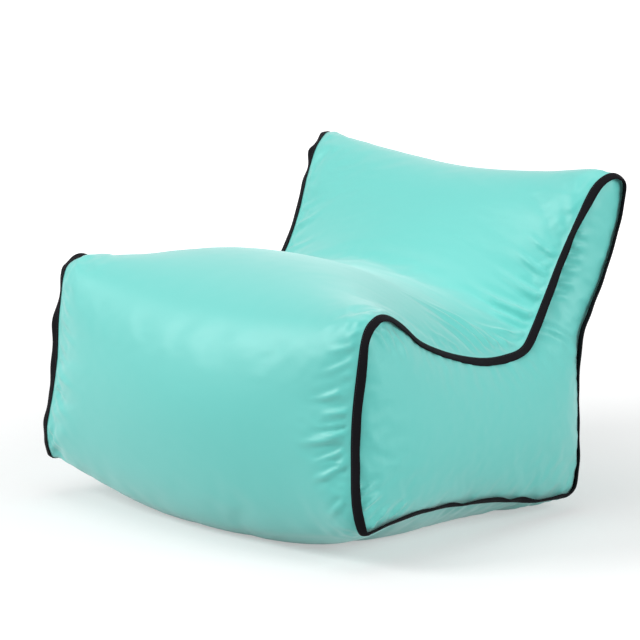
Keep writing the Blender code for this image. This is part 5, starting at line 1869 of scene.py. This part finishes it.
@dataclass
class ZipSetting:
    """The zip's soft parts and its stitching: woven tapes with corded edges, teeth, and sewn hems."""

    cover: Cover
    arc_centre: float = -0.590792
    arc_radius: float = 0.813029
    height: float = 0.16046
    level: float = -2.0 * MM
    chain_start: float = -106.7 * MM
    pitch: float = 4.4 * MM
    tooth_count: int = 47
    tape_reach: float = 124 * MM
    stitch_frame: tuple[float, float, float] = (122 * MM, 7.0 * MM, 2.5 * MM)
    tack_place: float = 119.8 * MM

    # The tape's section: distance from the chain's middle and from the cover's outer face, in mm.
    TAPE_SECTION = (
        (16.2, -1.72),
        (10.0, -1.72),
        (4.3, -1.72),
        (3.6, -1.42),
        (3.1, -1.26),
        (2.6, -1.36),
        (2.3, -1.68),
        (2.25, -2.0),
        (2.3, -2.32),
        (2.6, -2.64),
        (3.1, -2.74),
        (3.6, -2.58),
        (4.3, -2.28),
        (10.0, -2.28),
        (16.2, -2.28),
    )
    # Half the outline of a tooth: along the chain and across it from its own side, in mm.
    TOOTH_OUTLINE = (
        (0.32, -0.88),
        (0.60, -0.66),
        (0.64, -0.10),
        (0.44, 0.50),
        (0.44, 1.15),
        (0.74, 1.55),
        (0.80, 1.90),
        (0.80, 2.60),
        (0.60, 2.84),
    )

    def tape(self, name: str, way: int) -> bpy.types.Object:
        """The tape above (1) or below (-1) the chain, under the cover's face as it swells."""
        form = self.cover.cloth.form
        x = np.linspace(-self.tape_reach, self.tape_reach, 125)
        across, out = np.array(self.TAPE_SECTION).T * MM
        u = np.array([form.station_at_height(self.height + way * up) for up in across])
        face = form.strip(u, x / form.stations(u)[:, 2].mean())
        radial = unit(face - np.array([0, self.arc_centre, 0]) * (1, 1, 0) - face * (0, 0, 1))
        points = (face + radial * out[:, None, None]).transpose(1, 0, 2)
        faces = turned_over(tube_faces(len(x), len(out)), way > 0)
        uv = np.dstack(np.broadcast_arrays(across[None, :], x[:, None])).reshape(-1, 2)
        piece = make_mesh(name + "_woven", points.reshape(-1, 3), faces, uv)
        dress(piece, self.cover.finishes.tape)
        return piece

    def tooth(self, way: int) -> bpy.types.Object:
        """One tooth for the upper (1) or lower (-1) tape, chamfered all round."""
        mirrored = [(-along, across) for along, across in reversed(self.TOOTH_OUTLINE)]
        loop = np.array([*self.TOOTH_OUTLINE, *mirrored]) * MM
        centre = loop.mean(axis=0)
        rings = []
        for lift, share in ((-1.2, 0.84), (-1.0, 1.0), (1.0, 1.0), (1.2, 0.84)):
            ring = centre + (loop - centre) * share
            rings.append(np.column_stack([ring[:, 0], -way * ring[:, 1], np.full(len(ring), lift * MM)]))
        faces = turned_over(tube_faces(len(rings), len(loop)), way > 0)
        return make_mesh("zip_tooth", np.vstack(rings), faces)

    def teeth(self, name: str, way: int) -> bpy.types.Object:
        """The row of teeth on the upper (1) or lower (-1) tape, under its CAD node's name."""
        first = self.chain_start + self.pitch / 4 * (1 - way) + self.pitch / 2
        along = first + np.arange(0, (self.tooth_count - 1) * 4 + 1) * self.pitch / 4
        angle = along / self.arc_radius
        facing = np.column_stack([np.sin(angle), np.cos(angle), np.zeros(len(angle))])
        points = facing * (self.arc_radius + self.level) + (0, self.arc_centre, self.height)
        tooth = self.tooth(way)
        row = PathRow(pitch=self.pitch * 0.9995, size=(1, 1, 1), shape=tooth)
        piece = row.lay(name + "_moulded", [(points, facing, False)], self.cover.finishes.zip_plastic)
        bpy.data.objects.remove(tooth, do_unlink=True)
        return piece

    def row_round_slot(self) -> bpy.types.Object:
        """The row of stitches round the slot, which holds the hemmed cloth to the tapes."""
        half_length, half_width, corner = self.stitch_frame
        turn = np.linspace(0, math.pi / 2, 6)
        quarters = []
        for k, (way_x, way_z) in enumerate(((1, 1), (-1, 1), (-1, -1), (1, -1))):
            angle = turn + k * math.pi / 2
            centre = (way_x * (half_length - corner), way_z * (half_width - corner))
            quarters.append(np.column_stack([np.cos(angle), np.sin(angle)]) * corner + centre)
            if way_x == way_z:
                run = np.linspace(way_x, -way_x, 42)[1:-1] * (half_length - corner)
                quarters.append(np.column_stack([run, np.full(len(run), way_z * half_width)]))
        places = np.vstack(quarters) + (0, self.height)
        points, normals = self.cover.rear_face(places)
        row = PathRow(pitch=2.8 * MM, size=(2.2 * MM, 0.46 * MM, 0.46 * MM))
        paths = [(points + normals * 0.1 * MM, normals, True)]
        return row.lay("zip_stitches", paths, self.cover.finishes.thread)

    def bar_tacks(self) -> bpy.types.Object:
        """A dense bar of thread across each end of the slot."""
        paths = []
        for way in (-1, 1):
            z = np.linspace(-5.4, 5.4, 14) * MM + self.height
            points, normals = self.cover.rear_face(np.column_stack([np.full(14, way * self.tack_place), z]))
            paths.append((points + normals * 0.12 * MM, normals, False))
        row = PathRow(pitch=0.5 * MM, size=(0.5 * MM, 2.2 * MM, 0.5 * MM))
        return row.lay("zip_bar_tacks", paths, self.cover.finishes.thread)

    def build(self) -> None:
        """Builds the soft parts and the stitching."""
        for word, way in (("upper", 1), ("lower", -1)):
            tape = self.tape(f"zip_tape_{word}", way)
            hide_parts(f"zip_tape_{word}")
            teeth = self.teeth(f"zip_teeth_{word}", way)
            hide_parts(f"zip_teeth_{word}")
            for piece in (tape, teeth):
                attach(piece, "cover")
        for piece in (self.row_round_slot(), self.bar_tacks()):
            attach(piece, "cover")
        log.info("zip tapes, teeth and stitches are in place")


@dataclass
class HoleRing:
    """The ring sewn round the valve's hole, pressed down a little where its stitches run."""

    cover: Cover
    stitch_radius: float = 17.4 * MM
    count: int = 96

    # The ring's section: radius and distance from the cover's outer face, in mm.
    SECTION = (
        (13.5, 0.3),
        (13.5, 0.85),
        (13.8, 1.12),
        (14.5, 1.22),
        (16.4, 1.20),
        (17.0, 1.04),
        (17.4, 0.98),
        (17.8, 1.04),
        (18.4, 1.20),
        (19.4, 1.18),
        (20.0, 1.00),
        (20.3, 0.70),
        (20.3, 0.3),
    )

    def circle(self, radius: float, out: float) -> np.ndarray:
        """Points round the valve's axis at a radius, at a distance from the cover's outer face."""
        form, centre = self.cover.cloth.form, self.cover.valve_axis()
        angle = np.linspace(0, math.tau, self.count + 1)[:-1]
        points = []
        for x, up in zip(radius * np.cos(angle), radius * np.sin(angle)):
            u = np.array([form.station_at_height(centre.z + up)])
            points.append(form.strip(u, x / form.stations(u)[:, 2])[0, 0])
        return np.array(points) + (0, out, 0)

    def build(self) -> None:
        """Builds the ring and its stitches."""
        rings = [self.circle(radius * MM, out * MM) for radius, out in self.SECTION]
        points = np.stack(rings, axis=1).reshape(-1, 3)
        faces = tube_faces(self.count, len(rings), closed=True)
        ring = make_mesh("valve_hole_ring_moulded", points, faces)
        dress(ring, self.cover.finishes.valve_plastic)
        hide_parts("valve_hole_ring")
        facing = np.tile([0.0, 1.0, 0.0], (self.count, 1))
        path = (self.circle(self.stitch_radius, 1.05 * MM), facing, True)
        row = PathRow(pitch=2.6 * MM, size=(2.0 * MM, 0.46 * MM, 0.46 * MM))
        stitches = row.lay("ring_stitches", [path], self.cover.finishes.thread)
        for piece in (ring, stitches):
            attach(piece, "cover")
        log.info("the valve's ring and its stitches are in place")


@dataclass(frozen=True)
class Studio:
    """Pale floor, soft light from above and the left, and a camera at the photograph's angle."""

    place: tuple[float, float, float] = (3.78311, -4.02930, 1.44580)
    right: tuple[float, float, float] = (0.72653346, 0.68711634, 0.00450324)
    up: tuple[float, float, float] = (-0.15077154, 0.15301988, 0.97665391)
    back: tuple[float, float, float] = (0.67038577, -0.7102507, 0.21477165)
    lens: float = 253.125
    world_strength: float = 0.29
    floor_reach: float = 14.0
    floor_shade: float = 0.6
    near_glow: float = 0.42
    glow_rises: tuple[float, float] = (0.45, 1.8)

    def camera(self) -> None:
        """Sets the camera from the fit to the photograph's seam lines."""
        data = bpy.data.cameras.new("camera")
        data.lens, data.sensor_width, data.clip_end = self.lens, 36, 60
        camera = bpy.data.objects.new("camera", data)
        turn = Matrix((self.right, self.up, self.back)).transposed().to_4x4()
        camera.matrix_world = Matrix.Translation(self.place) @ turn
        bpy.context.scene.collection.objects.link(camera)
        bpy.context.scene.camera = camera

    def world(self) -> None:
        """Even light all round, and white behind the object."""
        world = bpy.data.worlds.new("studio")
        bpy.context.scene.world = world
        world.use_nodes = True
        tree = world.node_tree
        tree.nodes.clear()
        glow = {0: seen_share(tree), 3: self.world_strength, 4: 1.0}
        strength = add_node(tree, "ShaderNodeMapRange", glow)
        white = {"Color": (1, 1, 1, 1), "Strength": strength.outputs[0]}
        light = add_node(tree, "ShaderNodeBackground", white)
        add_node(tree, "ShaderNodeOutputWorld", {"Surface": light.outputs[0]})

    def lamp(self, name: str, place: Sequence[float], size: float, power: float) -> None:
        """A square soft light aimed at the seat.

        Args:
            name: The light's name.
            place: Where it hangs.
            size: Its side.
            power: Its power.
        """
        data = bpy.data.lights.new(name, "AREA")
        data.size, data.energy = size, power
        lamp = bpy.data.objects.new(name, data)
        lamp.location = place
        aim = Vector((0, 0, 0.2)) - Vector(place)
        lamp.rotation_euler = aim.to_track_quat("-Z", "Y").to_euler()
        bpy.context.scene.collection.objects.link(lamp)

    def floor(self) -> None:
        """A wide pale floor that is white in the picture but for the seat's shadow."""
        reach = self.floor_reach
        corners = [(-reach, -reach, 0), (reach, -reach, 0), (reach, reach, 0), (-reach, reach, 0)]
        floor = make_mesh("floor", np.array(corners), [(0, 1, 2, 3)])
        material = bpy.data.materials.new("matt_white_sweep")
        material.use_nodes = True
        tree = material.node_tree
        tree.nodes.clear()
        paint = add_node(tree, "ShaderNodeBsdfDiffuse", {"Color": (*[self.floor_shade] * 3, 1)})
        place = add_node(tree, "ShaderNodeTexCoord").outputs["Object"]
        away = add_node(tree, "ShaderNodeVectorMath", {0: place}, operation="LENGTH").outputs["Value"]
        near, far = self.glow_rises
        glow = add_node(tree, "ShaderNodeMapRange", {0: away, 1: near, 2: far, 3: self.near_glow, 4: 1.0})
        seen_glow = {0: glow.outputs[0], 1: seen_share(tree)}
        strength = add_node(tree, "ShaderNodeMath", seen_glow, operation="MULTIPLY").outputs[0]
        lift = add_node(tree, "ShaderNodeEmission", {"Color": (1, 1, 1, 1), "Strength": strength})
        both = add_node(tree, "ShaderNodeAddShader", {0: paint.outputs[0], 1: lift.outputs[0]})
        add_node(tree, "ShaderNodeOutputMaterial", {"Surface": both.outputs[0]})
        dress(floor, material)

    def build(self) -> None:
        """Sets up everything round the seat."""
        scene = bpy.context.scene
        scene.view_settings.view_transform = "Standard"
        self.camera()
        self.world()
        self.floor()
        self.lamp("key", (-1.7, -2.7, 2.2), 1.6, 82.0)
        self.lamp("side", (3.0, 0.5, 1.3), 1.6, 46.0)
        self.lamp("top", (-0.3, -0.2, 3.0), 2.0, 24.0)


def tether(
    rubber: bpy.types.Material,
    round_off: float = 0.18 * MM,
) -> None:
    """The cap's tether with rounded edges."""
    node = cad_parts["cap_tether"]
    strap = bpy.data.objects.new("cap_tether_moulded", node.data.copy())
    bpy.context.scene.collection.objects.link(strap)
    strap.data.transform(node.matrix_world)
    soften = strap.modifiers.new("edges", "BEVEL")
    soften.width, soften.segments, soften.angle_limit = round_off, 2, math.radians(40)
    apply_modifiers(strap)
    strap.data.shade_smooth()
    dress(strap, rubber)
    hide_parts("cap_tether")
    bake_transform(strap)


def main() -> None:
    """Builds the seat and its studio."""
    logging.basicConfig(level=logging.INFO, format="%(name)s: %(message)s")
    form = SeatForm()
    cloth = CoverCloth(form, ClothPlan(form))
    cloth.build()
    finishes = FinishRack.build()
    cover = Cover(cloth, finishes)
    cover.build()
    SeamBinding(cover).build()
    AirBladder(cover).build()
    ZipSetting(cover).build()
    HoleRing(cover).build()
    tether(finishes.valve_rubber)
    carried = {
        finishes.zip_plastic: ("zip_end_stop_upper", "zip_end_stop_lower", "zip_closing_stop"),
        finishes.zip_metal: ("zip_slider", "zip_pull"),
        finishes.valve_plastic: ("valve_base", "valve_insert", "valve_cap"),
        finishes.valve_rubber: ("valve_flap", "cap_seal"),
    }
    for material, names in carried.items():
        for name in names:
            dress(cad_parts[name], material)
    Studio().build()


if __name__ == "__main__":
    main()
